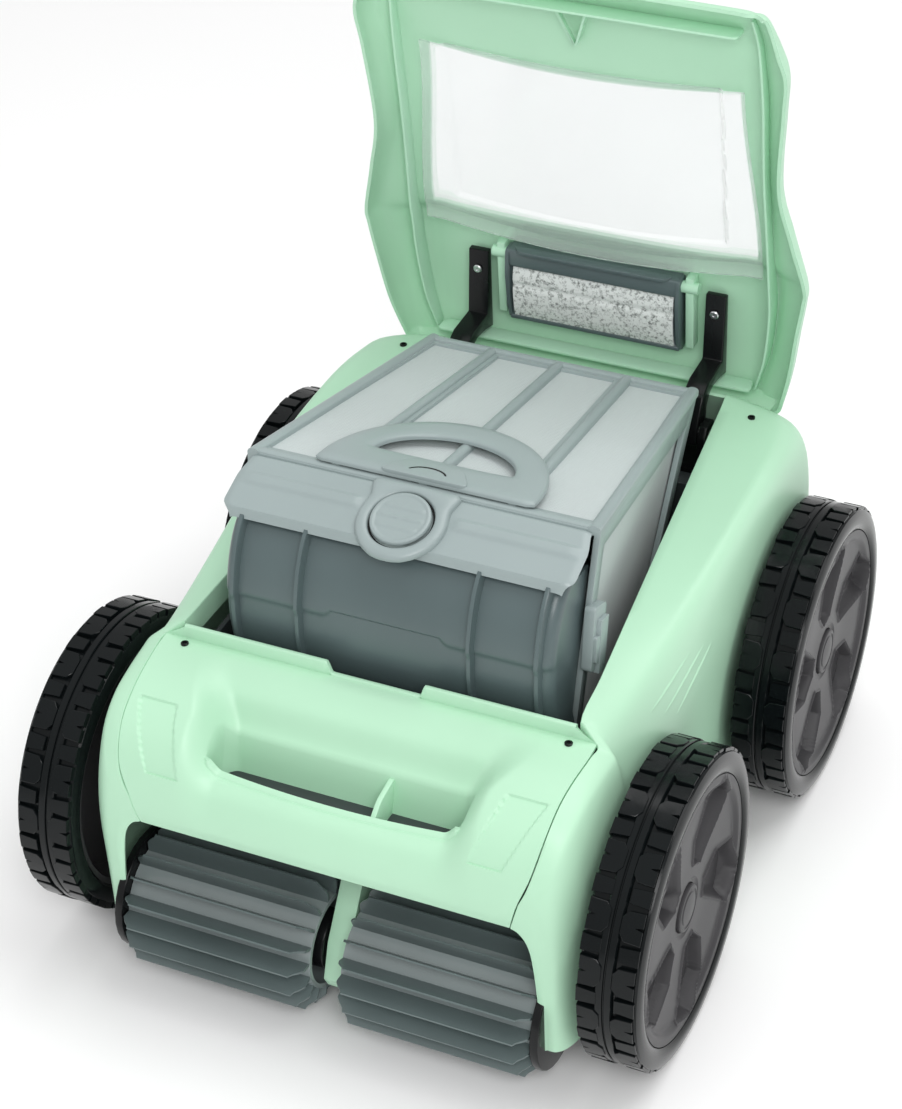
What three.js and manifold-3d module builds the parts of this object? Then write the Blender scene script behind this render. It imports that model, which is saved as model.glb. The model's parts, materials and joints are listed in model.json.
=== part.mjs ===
// Four-wheeled robotic pool cleaner with its lid open and its filter basket part-lifted.
// Millimetres. The rollers are at the front, towards -Y. +Z is up, and +X and the names ending
// in _right are on the right hand of somebody who faces the front. The origin is on the ground,
// midway between the four wheels.

import * as THREE from 'three';
import { mergeVertices } from 'three/addons/utils/BufferGeometryUtils.js';
import Module from 'manifold-3d';

const wasm = await Module();
wasm.setup();

// ---- driving dimensions ----

const GAP = 0.4;                 // running gap between neighbouring pieces
const WALL = 3;                  // moulded panel thickness

const TRACK_OUTER = 215;         // outer face of a wheel from the centre plane
const WHEEL_WIDTH = 41;
const WHEEL_RADIUS = 104;
const WHEELBASE_HALF = 138;
const RIM_RADIUS = 88;
const AXLE_RADIUS = 6;

const ROLLER_Y = -199;
const ROLLER_Z = 52;
const ROLLER_RADIUS = 49;
const ROLLER_BASE_RADIUS = 33;
const ROLLER_INNER_X = 11;
const ROLLER_OUTER_X = 143;
const LAMELLA_COUNT = 16;
const LAMELLA_THICKNESS = 3;

const TUB_HALF_WIDTH = 130;
const TUB_FRONT = -146;
const TUB_REAR = 212;
const TUB_BOTTOM = 26;
const TUB_TOP = 205;
const TUB_WALL = 3.5;
const MOTOR_BAY_FRONT = 122;
const ARM_INNER = 151.5;         // plates that hold the ends of the roller shaft
const ARM_OUTER = 155.5;
const BULKHEAD_KNEE_Z = 130;     // the bulkhead leans back above this height
const SHELF_FRONT = 160;
const SHELF_Z = 201;             // underside of the shelf behind the bulkhead

const OPENING_FRONT = -134;      // opening of the top deck that the filter drops through
const OPENING_REAR = 206;
const OPENING_FRONT_HALF = 136;
const OPENING_REAR_HALF = 107;
const RIM_FRONT_Z = 229;
const RIM_REAR_Z = 252;
const SEAM_HALF_WIDTH = 126.5;   // joint between the front panel and the side panels

const LID_PIVOT = { y: 184, z: 231 };
const LID_OPEN_ANGLE = 88;
const LID_ARM_INNER = 82;
const LID_ARM_OUTER = 97;
const WINDOW_FRONT = -64;
const WINDOW_REAR = 66;
const WINDOW_HALF_WIDTH = 118;
const WINDOW_FRONT_Z = 264;
const WINDOW_REAR_Z = 278;

const FILTER_PIVOT = { y: 170, z: 215 };
const FILTER_LIFT_ANGLE = 17;    // how far the basket is tilted up from its seat
const ROOF_FRONT = { y: -82, z: 246, half: 121 };
const ROOF_REAR = { y: 151, z: 272, half: 100 };
const BASE_FRONT = { y: -62, z: 76, half: 112 };
const BASE_REAR = { y: 96, z: 78, half: 96 };
const BASKET_WALL = 4;
const FLAP_ANGLE = 35.8;
const FLAP_LENGTH = 46;
const FLAP_HALF_WIDTH = 120;
const BUTTON_RADIUS = 19.8;
const BUTTON_TRAVEL = 3;
const BUTTON_DISTANCE = 27.5;    // from the flap's upper edge to the button's centre
const CLIP_RADIUS = 30;

const PUMP_Z = 92;
const IMPELLER_RADIUS = 30;

// ---- materials ----

function plastic(color, roughness) {
  return new THREE.MeshStandardMaterial({ color, roughness, metalness: 0 });
}

const MINT = plastic(0xbfe8c8, 0.35);
const TYRE_BLACK = plastic(0x101214, 0.4);
const WARM_GREY = plastic(0x5d5a59, 0.45);
const BASKET_GREY = plastic(0x9aa5a6, 0.4);
const DOOR_GREY = plastic(0x626c70, 0.4);
const MESH_GREY = plastic(0xd4d8d8, 0.8);
const BRUSH_GREY = plastic(0x4e5c5c, 0.5);
const BLACK = plastic(0x17181a, 0.45);
const CHASSIS_GREY = plastic(0x3c4446, 0.5);
const FOAM_GREY = plastic(0xc9cbc9, 0.95);
const RUBBER = plastic(0x22272a, 0.8);
const STEEL = new THREE.MeshStandardMaterial({ color: 0xc4c8ca, roughness: 0.3, metalness: 1 });
const CLEAR = new THREE.MeshStandardMaterial({
  color: 0xeef4f4, roughness: 0.1, metalness: 0, transparent: true, opacity: 0.4,
});

// ---- geometry helpers ----

function box(x0, x1, y0, y1, z0, z1) {
  const geometry = new THREE.BoxGeometry(x1 - x0, y1 - y0, z1 - z0);
  return geometry.translate((x0 + x1) / 2, (y0 + y1) / 2, (z0 + z1) / 2);
}

function extrude(points, depth) {
  const shape = new THREE.Shape(points.map(([a, b]) => new THREE.Vector2(a, b)));
  return new THREE.ExtrudeGeometry(shape, { depth, bevelEnabled: false });
}

// Outline in (y, z), extruded from x0 to x1.
function prismX(points, x0, x1) {
  const geometry = extrude(points, x1 - x0);
  geometry.applyMatrix4(new THREE.Matrix4().makeBasis(
    new THREE.Vector3(0, 1, 0), new THREE.Vector3(0, 0, 1), new THREE.Vector3(1, 0, 0)));
  return geometry.translate(x0, 0, 0);
}

// Outline in (x, z), extruded from y0 to y1.
function prismY(points, y0, y1) {
  const geometry = extrude(points, y1 - y0);
  geometry.rotateX(Math.PI / 2);
  return geometry.translate(0, y1, 0);
}

// Outline in (x, y), extruded from z0 to z1.
function prismZ(points, z0, z1) {
  return extrude(points, z1 - z0).translate(0, 0, z0);
}

function rodX(radius, x0, x1, y, z, segments = 24) {
  const geometry = new THREE.CylinderGeometry(radius, radius, x1 - x0, segments);
  return geometry.rotateZ(Math.PI / 2).translate((x0 + x1) / 2, y, z);
}

function rodY(radius, x, y0, y1, z, segments = 24) {
  const geometry = new THREE.CylinderGeometry(radius, radius, y1 - y0, segments);
  return geometry.translate(x, (y0 + y1) / 2, z);
}

function rodZ(radius, x, y, z0, z1, segments = 24) {
  const geometry = new THREE.CylinderGeometry(radius, radius, z1 - z0, segments);
  return geometry.rotateX(Math.PI / 2).translate(x, y, (z0 + z1) / 2);
}

// Profile of [radius, distance along +X], turned about the X axis.
function latheX(profile, segments) {
  const points = profile.map(([radius, x]) => new THREE.Vector2(radius, x));
  return outward(new THREE.LatheGeometry(points, segments).rotateZ(-Math.PI / 2));
}

// Profile of [radius, distance along +Y], turned about the Y axis.
function latheY(profile, segments) {
  const points = profile.map(([radius, y]) => new THREE.Vector2(radius, y));
  return outward(new THREE.LatheGeometry(points, segments));
}

// Closed solid through rings of equal point counts, with flat ends.
function loft(rings) {
  const count = rings[0].length;
  const positions = rings.flat().flat();
  const indices = [];
  for (let ring = 0; ring < rings.length - 1; ring += 1) {
    for (let k = 0; k < count; k += 1) {
      const a = ring * count + k;
      const b = ring * count + ((k + 1) % count);
      indices.push(a, b, b + count, a, b + count, a + count);
    }
  }
  const addCap = (ring, flip) => {
    const outline = rings[ring].map(([x, , z]) => new THREE.Vector2(x, z));
    const triangles = THREE.ShapeUtils.triangulateShape(outline, []);
    const first = ring * count;
    for (const [a, b, c] of triangles) {
      indices.push(first + a, first + (flip ? c : b), first + (flip ? b : c));
    }
  };
  const clockwise = THREE.ShapeUtils.isClockWise(rings[0].map(([x, , z]) => new THREE.Vector2(x, z)));
  addCap(0, !clockwise);
  addCap(rings.length - 1, clockwise);
  const geometry = new THREE.BufferGeometry();
  geometry.setAttribute('position', new THREE.Float32BufferAttribute(positions, 3));
  geometry.setIndex(indices);
  return outward(geometry);
}

// Turns a closed geometry's faces outward if its signed volume is negative.
function outward(geometry) {
  const p = geometry.getAttribute('position');
  const index = geometry.getIndex();
  const corner = (k) => new THREE.Vector3().fromBufferAttribute(p, index.getX(k));
  let volume = 0;
  for (let k = 0; k < index.count; k += 3) {
    volume += corner(k).dot(corner(k + 1).cross(corner(k + 2)));
  }
  if (volume < 0) {
    for (let k = 0; k < index.count; k += 3) {
      const keep = index.getX(k + 1);
      index.setX(k + 1, index.getX(k + 2));
      index.setX(k + 2, keep);
    }
  }
  return geometry;
}

// Six-sided solid between a front and a rear rectangle pair, given as corner stations.
function wedge(topFront, topRear, bottomFront, bottomRear) {
  const ring = (top, bottom) => [
    [-bottom.half, bottom.y, bottom.z], [bottom.half, bottom.y, bottom.z],
    [top.half, top.y, top.z], [-top.half, top.y, top.z],
  ];
  return loft([ring(topFront, bottomFront), ring(topRear, bottomRear)]);
}

function solid(geometry) {
  const bare = geometry.clone();
  bare.deleteAttribute('normal');
  bare.deleteAttribute('uv');
  const merged = mergeVertices(bare, 1e-4);
  return new wasm.Manifold(new wasm.Mesh({
    numProp: 3,
    vertProperties: new Float32Array(merged.getAttribute('position').array),
    triVerts: new Uint32Array(merged.getIndex().array),
  }));
}

function fromSolid(manifold) {
  const mesh = manifold.getMesh();
  const geometry = new THREE.BufferGeometry();
  geometry.setAttribute('position', new THREE.Float32BufferAttribute(mesh.vertProperties, 3));
  geometry.setIndex(new THREE.Uint32BufferAttribute(mesh.triVerts, 1));
  return geometry;
}

// Joins the first list of geometries and cuts the second list away.
function shaped(joined, cut = []) {
  let body = solid(joined[0]);
  for (const geometry of joined.slice(1)) {
    body = body.add(solid(geometry));
  }
  for (const geometry of cut) {
    body = body.subtract(solid(geometry));
  }
  return fromSolid(body);
}

function shared(first, second) {
  return fromSolid(solid(first).intersect(solid(second)));
}

function mirrored(geometry) {
  const copy = geometry.index ? geometry.clone() : mergeVertices(geometry.clone(), 1e-4);
  copy.scale(-1, 1, 1);
  return outward(copy);
}

function part(parent, name, geometry, material) {
  const mesh = new THREE.Mesh(geometry, material);
  mesh.name = name;
  parent.add(mesh);
  return mesh;
}

const along = (y, from, to) => from + (to - from) * ((y - OPENING_FRONT) / (OPENING_REAR - OPENING_FRONT));
const openingHalf = (y) => along(y, OPENING_FRONT_HALF, OPENING_REAR_HALF);
const rimHeight = (y) => along(y, RIM_FRONT_Z, RIM_REAR_Z);

const group = new THREE.Group();

// ---- chassis ----

function lowerChassis() {
  const side = TUB_HALF_WIDTH - TUB_WALL;
  const floor = TUB_BOTTOM + 6;
  const wellFront = TUB_FRONT + TUB_WALL;
  const wellRear = MOTOR_BAY_FRONT - TUB_WALL;
  const bayRear = TUB_REAR - TUB_WALL;
  const well = prismX([[wellFront, floor], [wellRear, floor], [wellRear, BULKHEAD_KNEE_Z],
    [SHELF_FRONT - TUB_WALL, SHELF_Z], [SHELF_FRONT - TUB_WALL, TUB_TOP + 1],
    [wellFront, TUB_TOP + 1]], -side, side);
  const bay = prismX([[MOTOR_BAY_FRONT, floor], [bayRear, floor], [bayRear, SHELF_Z], [SHELF_FRONT, SHELF_Z],
    [MOTOR_BAY_FRONT, BULKHEAD_KNEE_Z]], -side, side);
  const intake = box(-70, 70, -120, -85, TUB_BOTTOM - 1, floor + 1);
  const outlet = rodY(IMPELLER_RADIUS + 3, 0, TUB_REAR - 5, TUB_REAR + 1, PUMP_Z);
  const shell = box(-TUB_HALF_WIDTH, TUB_HALF_WIDTH, TUB_FRONT, TUB_REAR, TUB_BOTTOM, TUB_TOP);
  const arms = [-1, 1].map((sign) => {
    const x0 = Math.min(sign * ARM_INNER, sign * ARM_OUTER);
    return prismX([[-214, 40], [-206, 34], [-140, 34], [-130, 60], [-134, 72], [-160, 80],
      [-190, 82], [-212, 64]], x0, x0 + ARM_OUTER - ARM_INNER);
  });
  const bridges = [-1, 1].map((sign) => box(sign > 0 ? TUB_HALF_WIDTH - 2 : -ARM_OUTER,
    sign > 0 ? ARM_OUTER : 2 - TUB_HALF_WIDTH, -145, -131, 40, 70));
  return shaped([shell, ...arms, ...bridges],
    [well, bay, intake, outlet, rodX(AXLE_RADIUS + 0.3, -160, 160, ROLLER_Y, ROLLER_Z)]);
}

function rollerDivider() {
  const outline = [[TUB_FRONT - GAP, 135], [-187, 97], [-212, 62], [-221, 38], [-216, 28],
    [TUB_FRONT - GAP, 28]];
  return shaped([prismX(outline, -7.5, 7.5)], [rodX(AXLE_RADIUS + 0.3, -10, 10, ROLLER_Y, ROLLER_Z)]);
}

function driveUnit(side) {
  const acrossWheel = (radius, x0, x1) => [-1, 1].map(
    (end) => rodX(radius, x0, x1, end * WHEELBASE_HALF, WHEEL_RADIUS, 18));
  const bores = acrossWheel(AXLE_RADIUS + 0.35, side - 20, side + 20);
  const bosses = acrossWheel(15, side - 8, side + 14);
  const casing = prismX([[-158, 88], [-150, 80], [150, 80], [158, 88], [158, 120], [150, 128],
    [-150, 128], [-158, 120]], side - 8, side + 8);
  return shaped([casing, ...bosses], bores);
}

function pumpMotor() {
  const profile = [[0, 128], [30, 128], [38, 134], [38, 190], [30, 196], [14, 204], [4.4, 204],
    [4.4, 150], [0, 150]];
  return latheY(profile, 20).translate(0, 0, PUMP_Z);
}

function pumpImpeller() {
  const shaft = rodY(4, 0, 152, 228, PUMP_Z, 20);
  const hub = rodY(10, 0, 213, 227, PUMP_Z, 20);
  const blades = [0, 1, 2].map((k) => {
    const blade = box(-2, 2, 214, 226, -IMPELLER_RADIUS + 1, IMPELLER_RADIUS - 1);
    return blade.rotateY((k * Math.PI) / 3).translate(0, 0, PUMP_Z);
  });
  return shaped([shaft, hub, ...blades]);
}

function outletGrille() {
  const frame = box(-44, 44, 233.5, 239, PUMP_Z - 36, PUMP_Z + 36);
  const slots = [-30, -18, -6, 6, 18, 30].map((x) => box(x - 4, x + 4, 230, 242, PUMP_Z - 30, PUMP_Z + 30));
  const bar = box(-42, 42, 234.5, 238, PUMP_Z - 2, PUMP_Z + 2);
  return shaped([shaped([frame], slots), bar]);
}

function cableGland() {
  const profile = [[5, 240.5], [11, 240.5], [11, 243], [8, 247.6], [5, 247.6], [5, 240.5]];
  return latheY(profile, 24).translate(-100, 0, 120);
}

function hingeBracket() {
  const [earOuter, earInner] = [LID_ARM_OUTER + 1.5, LID_ARM_INNER - 1.5];
  const base = box(earInner - 6, earOuter + 6, 170, 200, TUB_TOP + GAP, TUB_TOP + 4);
  const ear = [[172, TUB_TOP + 3], [198, TUB_TOP + 3], [195, 233], [190, 240], [178, 240], [173, 233]];
  const ears = [prismX(ear, earInner - 5.5, earInner), prismX(ear, earOuter, earOuter + 5.5)];
  return shaped([base, ...ears], [rodX(4.3, 60, 120, LID_PIVOT.y, LID_PIVOT.z)]);
}

part(group, 'lower_chassis', lowerChassis(), CHASSIS_GREY);
part(group, 'roller_divider', rollerDivider(), MINT);
part(group, 'pump_motor', pumpMotor(), CHASSIS_GREY);
part(group, 'pump_impeller', pumpImpeller(), BLACK);
part(group, 'outlet_grille', outletGrille(), BLACK);
part(group, 'cable_gland', cableGland(), BLACK);
part(group, 'roller_shaft', rodX(AXLE_RADIUS, -155, 155, ROLLER_Y, ROLLER_Z), STEEL);
part(group, 'drive_unit_right', driveUnit(140), CHASSIS_GREY);
part(group, 'drive_unit_left', mirrored(driveUnit(140)), CHASSIS_GREY);
for (const [name, sign] of [['right', 1], ['left', -1]]) {
  const bracket = hingeBracket();
  part(group, `hinge_bracket_${name}`, sign > 0 ? bracket : mirrored(bracket), BLACK);
  const pin = rodX(4, LID_ARM_INNER - 6, LID_ARM_OUTER + 6, LID_PIVOT.y, LID_PIVOT.z);
  part(group, `hinge_pin_${name}`, sign > 0 ? pin : mirrored(pin), STEEL);
}

// ---- body panels ----

const FASCIA = [[-137, 218.5], [-150, 217.5], [-172, 215.5], [-190, 211], [-206, 202], [-217, 190], [-224, 176],
  [-227.5, 158], [-228, 146], [-226, 138]];

function frontPanel() {
  const inner = FASCIA.map(([y, z], k) => {
    const [y0, z0] = FASCIA[Math.max(k - 1, 0)];
    const [y1, z1] = FASCIA[Math.min(k + 1, FASCIA.length - 1)];
    const length = Math.hypot(y1 - y0, z1 - z0);
    return [y - (WALL * (z1 - z0)) / length, z + (WALL * (y1 - y0)) / length];
  }).reverse();
  const skin = prismX([...FASCIA, ...inner], -SEAM_HALF_WIDTH, SEAM_HALF_WIDTH);
  const lip = box(-SEAM_HALF_WIDTH, SEAM_HALF_WIDTH, OPENING_FRONT - WALL, OPENING_FRONT, 208, RIM_FRONT_Z);
  const notch = box(-30, 30, OPENING_FRONT - 10, OPENING_FRONT + 10, 219, RIM_FRONT_Z + 5);
  const under = prismX([...FASCIA, [-137, 138]], -SEAM_HALF_WIDTH, SEAM_HALF_WIDTH);
  const pocketWalls = shared(box(-89, 89, -209, -170, 150, 230), under);
  const pocket = box(-86, 86, -206, -173, 153, 235);
  const rib = shared(box(26, 30, -208, -171, 151, 196), under);
  return shaped([shaped([skin, lip, pocketWalls], [pocket, notch]), rib]);
}

// Cross-section of the right-hand side panel at one station along y.
function sideRing([y, innerX, innerZ, cornerX, cornerZ, sideX, sideZ, footX, footZ]) {
  const outer = [[innerX, innerZ], [(innerX + cornerX) / 2, (innerZ + cornerZ) / 2 + 1.5],
    [cornerX, cornerZ], [sideX, sideZ], [footX, footZ]];
  const inner = [[footX - WALL, footZ], [sideX - WALL, sideZ - 1], [cornerX - WALL, cornerZ - WALL],
    [(innerX + cornerX) / 2 - 1, (innerZ + cornerZ) / 2 - 1.5], [innerX, innerZ - WALL]];
  return [...outer, ...inner].map(([x, z]) => [x, y, z]);
}

const SEAM_EDGE = SEAM_HALF_WIDTH + 0.5;

const SIDE_STATIONS = [
  [-224, SEAM_EDGE, 176, 150, 169, 166, 135, 163, 42],
  [-206, SEAM_EDGE, 202, 152, 194, 168, 150, 165, 40],
  [-190, SEAM_EDGE, 211, 153, 202, 169, 156, 166, 42],
  [-150, SEAM_EDGE, 217.5, 155, 206, 170, 160, 166, 52],
  [-137.5, SEAM_EDGE, 218.5, 155.5, 208, 170, 162, 166, 54],
  ...[OPENING_FRONT, -94, -60, 0, 65, 140, 190].map((y, k) => [
    y, openingHalf(y) + 0.5, rimHeight(y), [156, 157, 159, 163, 167, 168, 167][k],
    [209, 217, 224, 236, 246, 249, 242][k], [170, 170, 170.5, 170.5, 170.5, 170.5, 170][k],
    [163, 172, 180, 190, 198, 200, 190][k], 166, 54]),
  [OPENING_REAR + 1, openingHalf(OPENING_REAR) + 0.5, 250, 165, 233, 169.5, 180, 166, 54],
  [213, 109, 239, 162, 226, 168.5, 176, 165, 55],
  [219, 112, 229, 159, 216, 166, 169, 163, 57],
  [228, 116, 214, 154, 202, 162, 163, 159, 59],
  [236, 118, 200, 150, 188, 157, 155, 155, 60],
];

function sidePanel() {
  const skin = loft(SIDE_STATIONS.map(sideRing));
  const corner = prismY([[SEAM_EDGE, 176], [150, 169], [166, 135], [163, 42], [152, 42], [151, 105], [144, 128],
    [SEAM_EDGE, 139]], -227, -222);
  const holes = [
    ...[-1, 1].map((end) => rodX(20, 150, 180, end * WHEELBASE_HALF, WHEEL_RADIUS, 14)),
    rodZ(3.2, 132.3, -143.5, 205, 225, 12),
    rodZ(3.2, 132, 189, 238, 260, 12),
  ];
  return shaped([skin, corner], holes);
}

function rearPanel() {
  const outer = [[OPENING_REAR + 1, 249.5], [213, 240], [222, 228], [232, 208], [238, 180],
    [240, 140], [240, 60]];
  const inner = [[237, 60], [237, 140], [235, 179], [229, 207], [219.5, 226], [211, 238],
    [OPENING_REAR + 1, 243]];
  const top = prismX([...outer, ...inner], -106, 106);
  const lower = prismX([[238.6, 170], [240, 140], [240, 60], [237, 60], [237, 140], [235.6, 170]], -150, 150);
  const cheeks = [-1, 1].map((sign) => {
    const [x0, x1] = sign > 0 ? [148, 153] : [-153, -148];
    return box(x0, x1, 236.8, 239.8, 62, 150);
  });
  return shaped([top, lower, ...cheeks],
    [box(-44.5, 44.5, 225, 245, PUMP_Z - 36.5, PUMP_Z + 36.5), rodY(8, -100, 225, 245, 120)]);
}

part(group, 'front_panel', frontPanel(), MINT);
part(group, 'side_panel_right', sidePanel(), MINT);
part(group, 'side_panel_left', mirrored(sidePanel()), MINT);
part(group, 'rear_panel', rearPanel(), MINT);

const SCREWS = { front: [132.3, -143.5, 216], rear: [132, 189, 246] };
for (const [end, [x, y, z]] of Object.entries(SCREWS)) {
  for (const [name, sign] of [['right', 1], ['left', -1]]) {
    part(group, `deck_screw_${end}_${name}`, rodZ(2.8, sign * x, y, z - 8, z, 12), STEEL);
  }
}

// ---- wheels ----

function tyre() {
  const half = WHEEL_WIDTH;
  return latheX([[RIM_RADIUS, 1], [99, 0], [WHEEL_RADIUS, 5], [WHEEL_RADIUS, half - 5], [99, half],
    [RIM_RADIUS, half - 1], [RIM_RADIUS, 1]], 36);
}

function wheelDisc() {
  const edge = RIM_RADIUS - GAP;
  return latheX([[0, 28], [16, 28], [18, 33], [40, 31], [70, 33], [80, 38], [edge, 40], [edge, 2], [82, 2],
    [78, 22], [26, 22], [24, 3], [AXLE_RADIUS + GAP, 3], [AXLE_RADIUS + GAP, 24], [0, 24]], 24);
}

function hubCap() {
  return latheX([[0, 28 + GAP], [15.5, 28 + GAP], [15.5, 34], [12, 36], [0, 36.5]], 16);
}

for (const [end, endSign] of [['front', -1], ['rear', 1]]) {
  for (const [side, sign] of [['right', 1], ['left', -1]]) {
    const wheel = new THREE.Group();
    wheel.position.set(sign * (TRACK_OUTER - WHEEL_WIDTH), endSign * WHEELBASE_HALF, WHEEL_RADIUS);
    const turned = (geometry) => (sign > 0 ? geometry : mirrored(geometry));
    part(wheel, `tyre_${end}_${side}`, turned(tyre()), TYRE_BLACK);
    part(wheel, `wheel_disc_${end}_${side}`, turned(wheelDisc()), WARM_GREY);
    part(wheel, `hub_cap_${end}_${side}`, turned(hubCap()), WARM_GREY);
    part(wheel, `axle_${end}_${side}`, turned(rodX(AXLE_RADIUS, -40, 23.5, 0, 0, 18)), STEEL);
    group.add(wheel);
  }
}

// ---- brush rollers ----

function brushSleeve() {
  const outline = [];
  for (let k = 0; k < LAMELLA_COUNT; k += 1) {
    const angle = (k * 2 * Math.PI) / LAMELLA_COUNT;
    const rootHalf = LAMELLA_THICKNESS / 2 / ROLLER_BASE_RADIUS;
    const tipHalf = LAMELLA_THICKNESS / 3 / ROLLER_RADIUS;
    for (const [offset, radius] of [[-rootHalf, ROLLER_BASE_RADIUS], [-tipHalf, ROLLER_RADIUS],
      [tipHalf, ROLLER_RADIUS], [rootHalf, ROLLER_BASE_RADIUS]]) {
      const turn = angle + offset;
      outline.push([ROLLER_Y + radius * Math.cos(turn), ROLLER_Z + radius * Math.sin(turn)]);
    }
  }
  return shaped([prismX(outline, ROLLER_INNER_X, ROLLER_OUTER_X)],
    [rodX(20, 0, ROLLER_OUTER_X + 5, ROLLER_Y, ROLLER_Z)]);
}

function rollerCore() {
  const bore = AXLE_RADIUS + GAP;
  return latheX([[bore, 9], [20 - GAP, 9], [20 - GAP, ROLLER_OUTER_X + GAP], [41, ROLLER_OUTER_X + GAP],
    [41, 149], [bore, 149], [bore, 9]], 28).translate(0, ROLLER_Y, ROLLER_Z);
}

for (const [name, sign] of [['right', 1], ['left', -1]]) {
  part(group, `brush_sleeve_${name}`, sign > 0 ? brushSleeve() : mirrored(brushSleeve()), BRUSH_GREY);
  part(group, `roller_core_${name}`, sign > 0 ? rollerCore() : mirrored(rollerCore()), BLACK);
}

// ---- lid, drawn closed and then turned open about its pivot ----

const lid = new THREE.Group();
lid.position.set(0, LID_PIVOT.y, LID_PIVOT.z);
lid.rotation.x = THREE.MathUtils.degToRad(-LID_OPEN_ANGLE);
const lidParts = new THREE.Group();
lidParts.position.set(0, -LID_PIVOT.y, -LID_PIVOT.z);
lid.add(lidParts);
group.add(lid);

// Stations of the closed lid: y, half-width, rim height, shoulder height, crown half-width, crown height.
const LID_STATIONS = [
  [-141, 138, 223, 228, 118, 231],
  [-136, 141, 227, 238, 122, 243],
  [-112, 147, 233, 250, 124, 257],
  [-94, 151, 236, 252, 125, 261],
  [-66, 149, 240, 255, 126, 267],
  [-10, 146, 244, 260, 126, 273],
  [30, 154, 248, 264, 127, 277],
  [66, 163, 252, 267, 128, 281],
  [80, 162, 253, 271, 128, 291],
  [105, 158, 254, 273, 128, 293],
  [144, 152, 258, 275, 124, 293],
  [177, 144, 264, 276, 116, 287],
];

function lidRing([y, half, rim, shoulder, crownHalf, crown]) {
  const right = [[half, rim], [half - 3, shoulder], [crownHalf, crown]];
  const rightInner = [[half - WALL, rim], [half - 3 - WALL, shoulder - 2], [crownHalf - 1, crown - WALL]];
  const flip = ([x, z]) => [-x, z];
  const ring = [...right.map(flip), ...[...right].reverse(),
    ...rightInner, ...[...rightInner].reverse().map(flip)];
  return ring.map(([x, z]) => [x, y, z]);
}

function lidShell() {
  const skin = loft(LID_STATIONS.map(lidRing));
  const frontWall = prismY([[-136, 223], [136, 223], [134, 228], [117, 230], [-117, 230],
    [-134, 228]], -141, -138);
  const rearWall = prismY([[-143, 264], [143, 264], [140, 275], [115, 286], [-115, 286],
    [-140, 275]], 174, 177);
  const window = box(-WINDOW_HALF_WIDTH, WINDOW_HALF_WIDTH, WINDOW_FRONT, WINDOW_REAR, 250, 295);
  return shaped([skin, frontWall, rearWall], [window]);
}

function lidWindow() {
  const half = WINDOW_HALF_WIDTH - GAP;
  const slope = (WINDOW_REAR_Z - WINDOW_FRONT_Z) / (WINDOW_REAR - WINDOW_FRONT);
  const y0 = WINDOW_FRONT + GAP;
  const y1 = WINDOW_REAR - GAP;
  const z0 = WINDOW_FRONT_Z + 0.3;
  const z1 = z0 + slope * (y1 - y0);
  return prismX([[y0, z0], [y1, z1], [y1, z1 + 2.6], [y0, z0 + 2.6]], -half, half);
}

function lidArm() {
  const { y, z } = LID_PIVOT;
  // The neck bends forward so that it passes over the rear edge of the deck as the lid opens.
  const outline = [[-9, -6], [-26, 5], [-31, 18], [-31, 44], [-80, 50.5], [-80, 55.5], [-16, 53], [-20, 40],
    [-22, 26], [-20.5, 19], [-14, 13], [5, 10], [10, 0], [5, -9]].map(([a, b]) => [y + a, z + b]);
  return shaped([prismX(outline, LID_ARM_INNER, LID_ARM_OUTER)], [rodX(4.3, 60, 120, y, z)]);
}

function floatHolder() {
  const shell = box(-64, 64, 94, 153, 276, 287.3);
  const room = box(-60, 60, 98, 149, 275, 284);
  return shaped([shell], [room]);
}

part(lidParts, 'lid_shell', lidShell(), MINT);
part(lidParts, 'lid_window', lidWindow(), CLEAR);
part(lidParts, 'lid_arm_right', lidArm(), BLACK);
part(lidParts, 'lid_arm_left', mirrored(lidArm()), BLACK);
part(lidParts, 'float_holder', floatHolder(), DOOR_GREY);
part(lidParts, 'float_foam', box(-58, 58, 100, 147, 277, 283.5), FOAM_GREY);

// ---- filter basket, drawn on its seat and then tilted up about its rear rod ----

part(group, 'filter_pivot_rod', rodX(4, -66, 66, FILTER_PIVOT.y, FILTER_PIVOT.z), STEEL);

const filter = new THREE.Group();
filter.position.set(0, FILTER_PIVOT.y, FILTER_PIVOT.z);
filter.rotation.x = THREE.MathUtils.degToRad(-FILTER_LIFT_ANGLE);
const filterParts = new THREE.Group();
filterParts.position.set(0, -FILTER_PIVOT.y, -FILTER_PIVOT.z);
filter.add(filterParts);
group.add(filter);

// Station at y on the line through a front and a rear station, drawn in by dx and raised by dz.
function station(front, rear, y, dz, dx) {
  const t = (y - front.y) / (rear.y - front.y);
  return { y, z: front.z + t * (rear.z - front.z) + dz, half: front.half + t * (rear.half - front.half) - dx };
}

const roofAt = (y, dz, dx) => station(ROOF_FRONT, ROOF_REAR, y, dz, dx);
const baseAt = (y, dz, dx) => station(BASE_FRONT, BASE_REAR, y, dz, dx);

function basketCavity() {
  const t = BASKET_WALL;
  return wedge(roofAt(ROOF_FRONT.y - 20, -t, t), roofAt(ROOF_REAR.y - t, -t, t),
    baseAt(BASE_FRONT.y - 20, t, t), baseAt(BASE_REAR.y - t, t, t));
}

// Tapered opening in the roof between two fractions of its width.
function roofWindow(from, to) {
  const front = ROOF_FRONT.half - 8;
  const rear = ROOF_REAR.half - 8;
  const [y0, y1] = [ROOF_FRONT.y + 12, ROOF_REAR.y - 10];
  return prismZ([[from * front, y0], [to * front, y0], [to * rear, y1], [from * rear, y1]], 235, 290);
}

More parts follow.
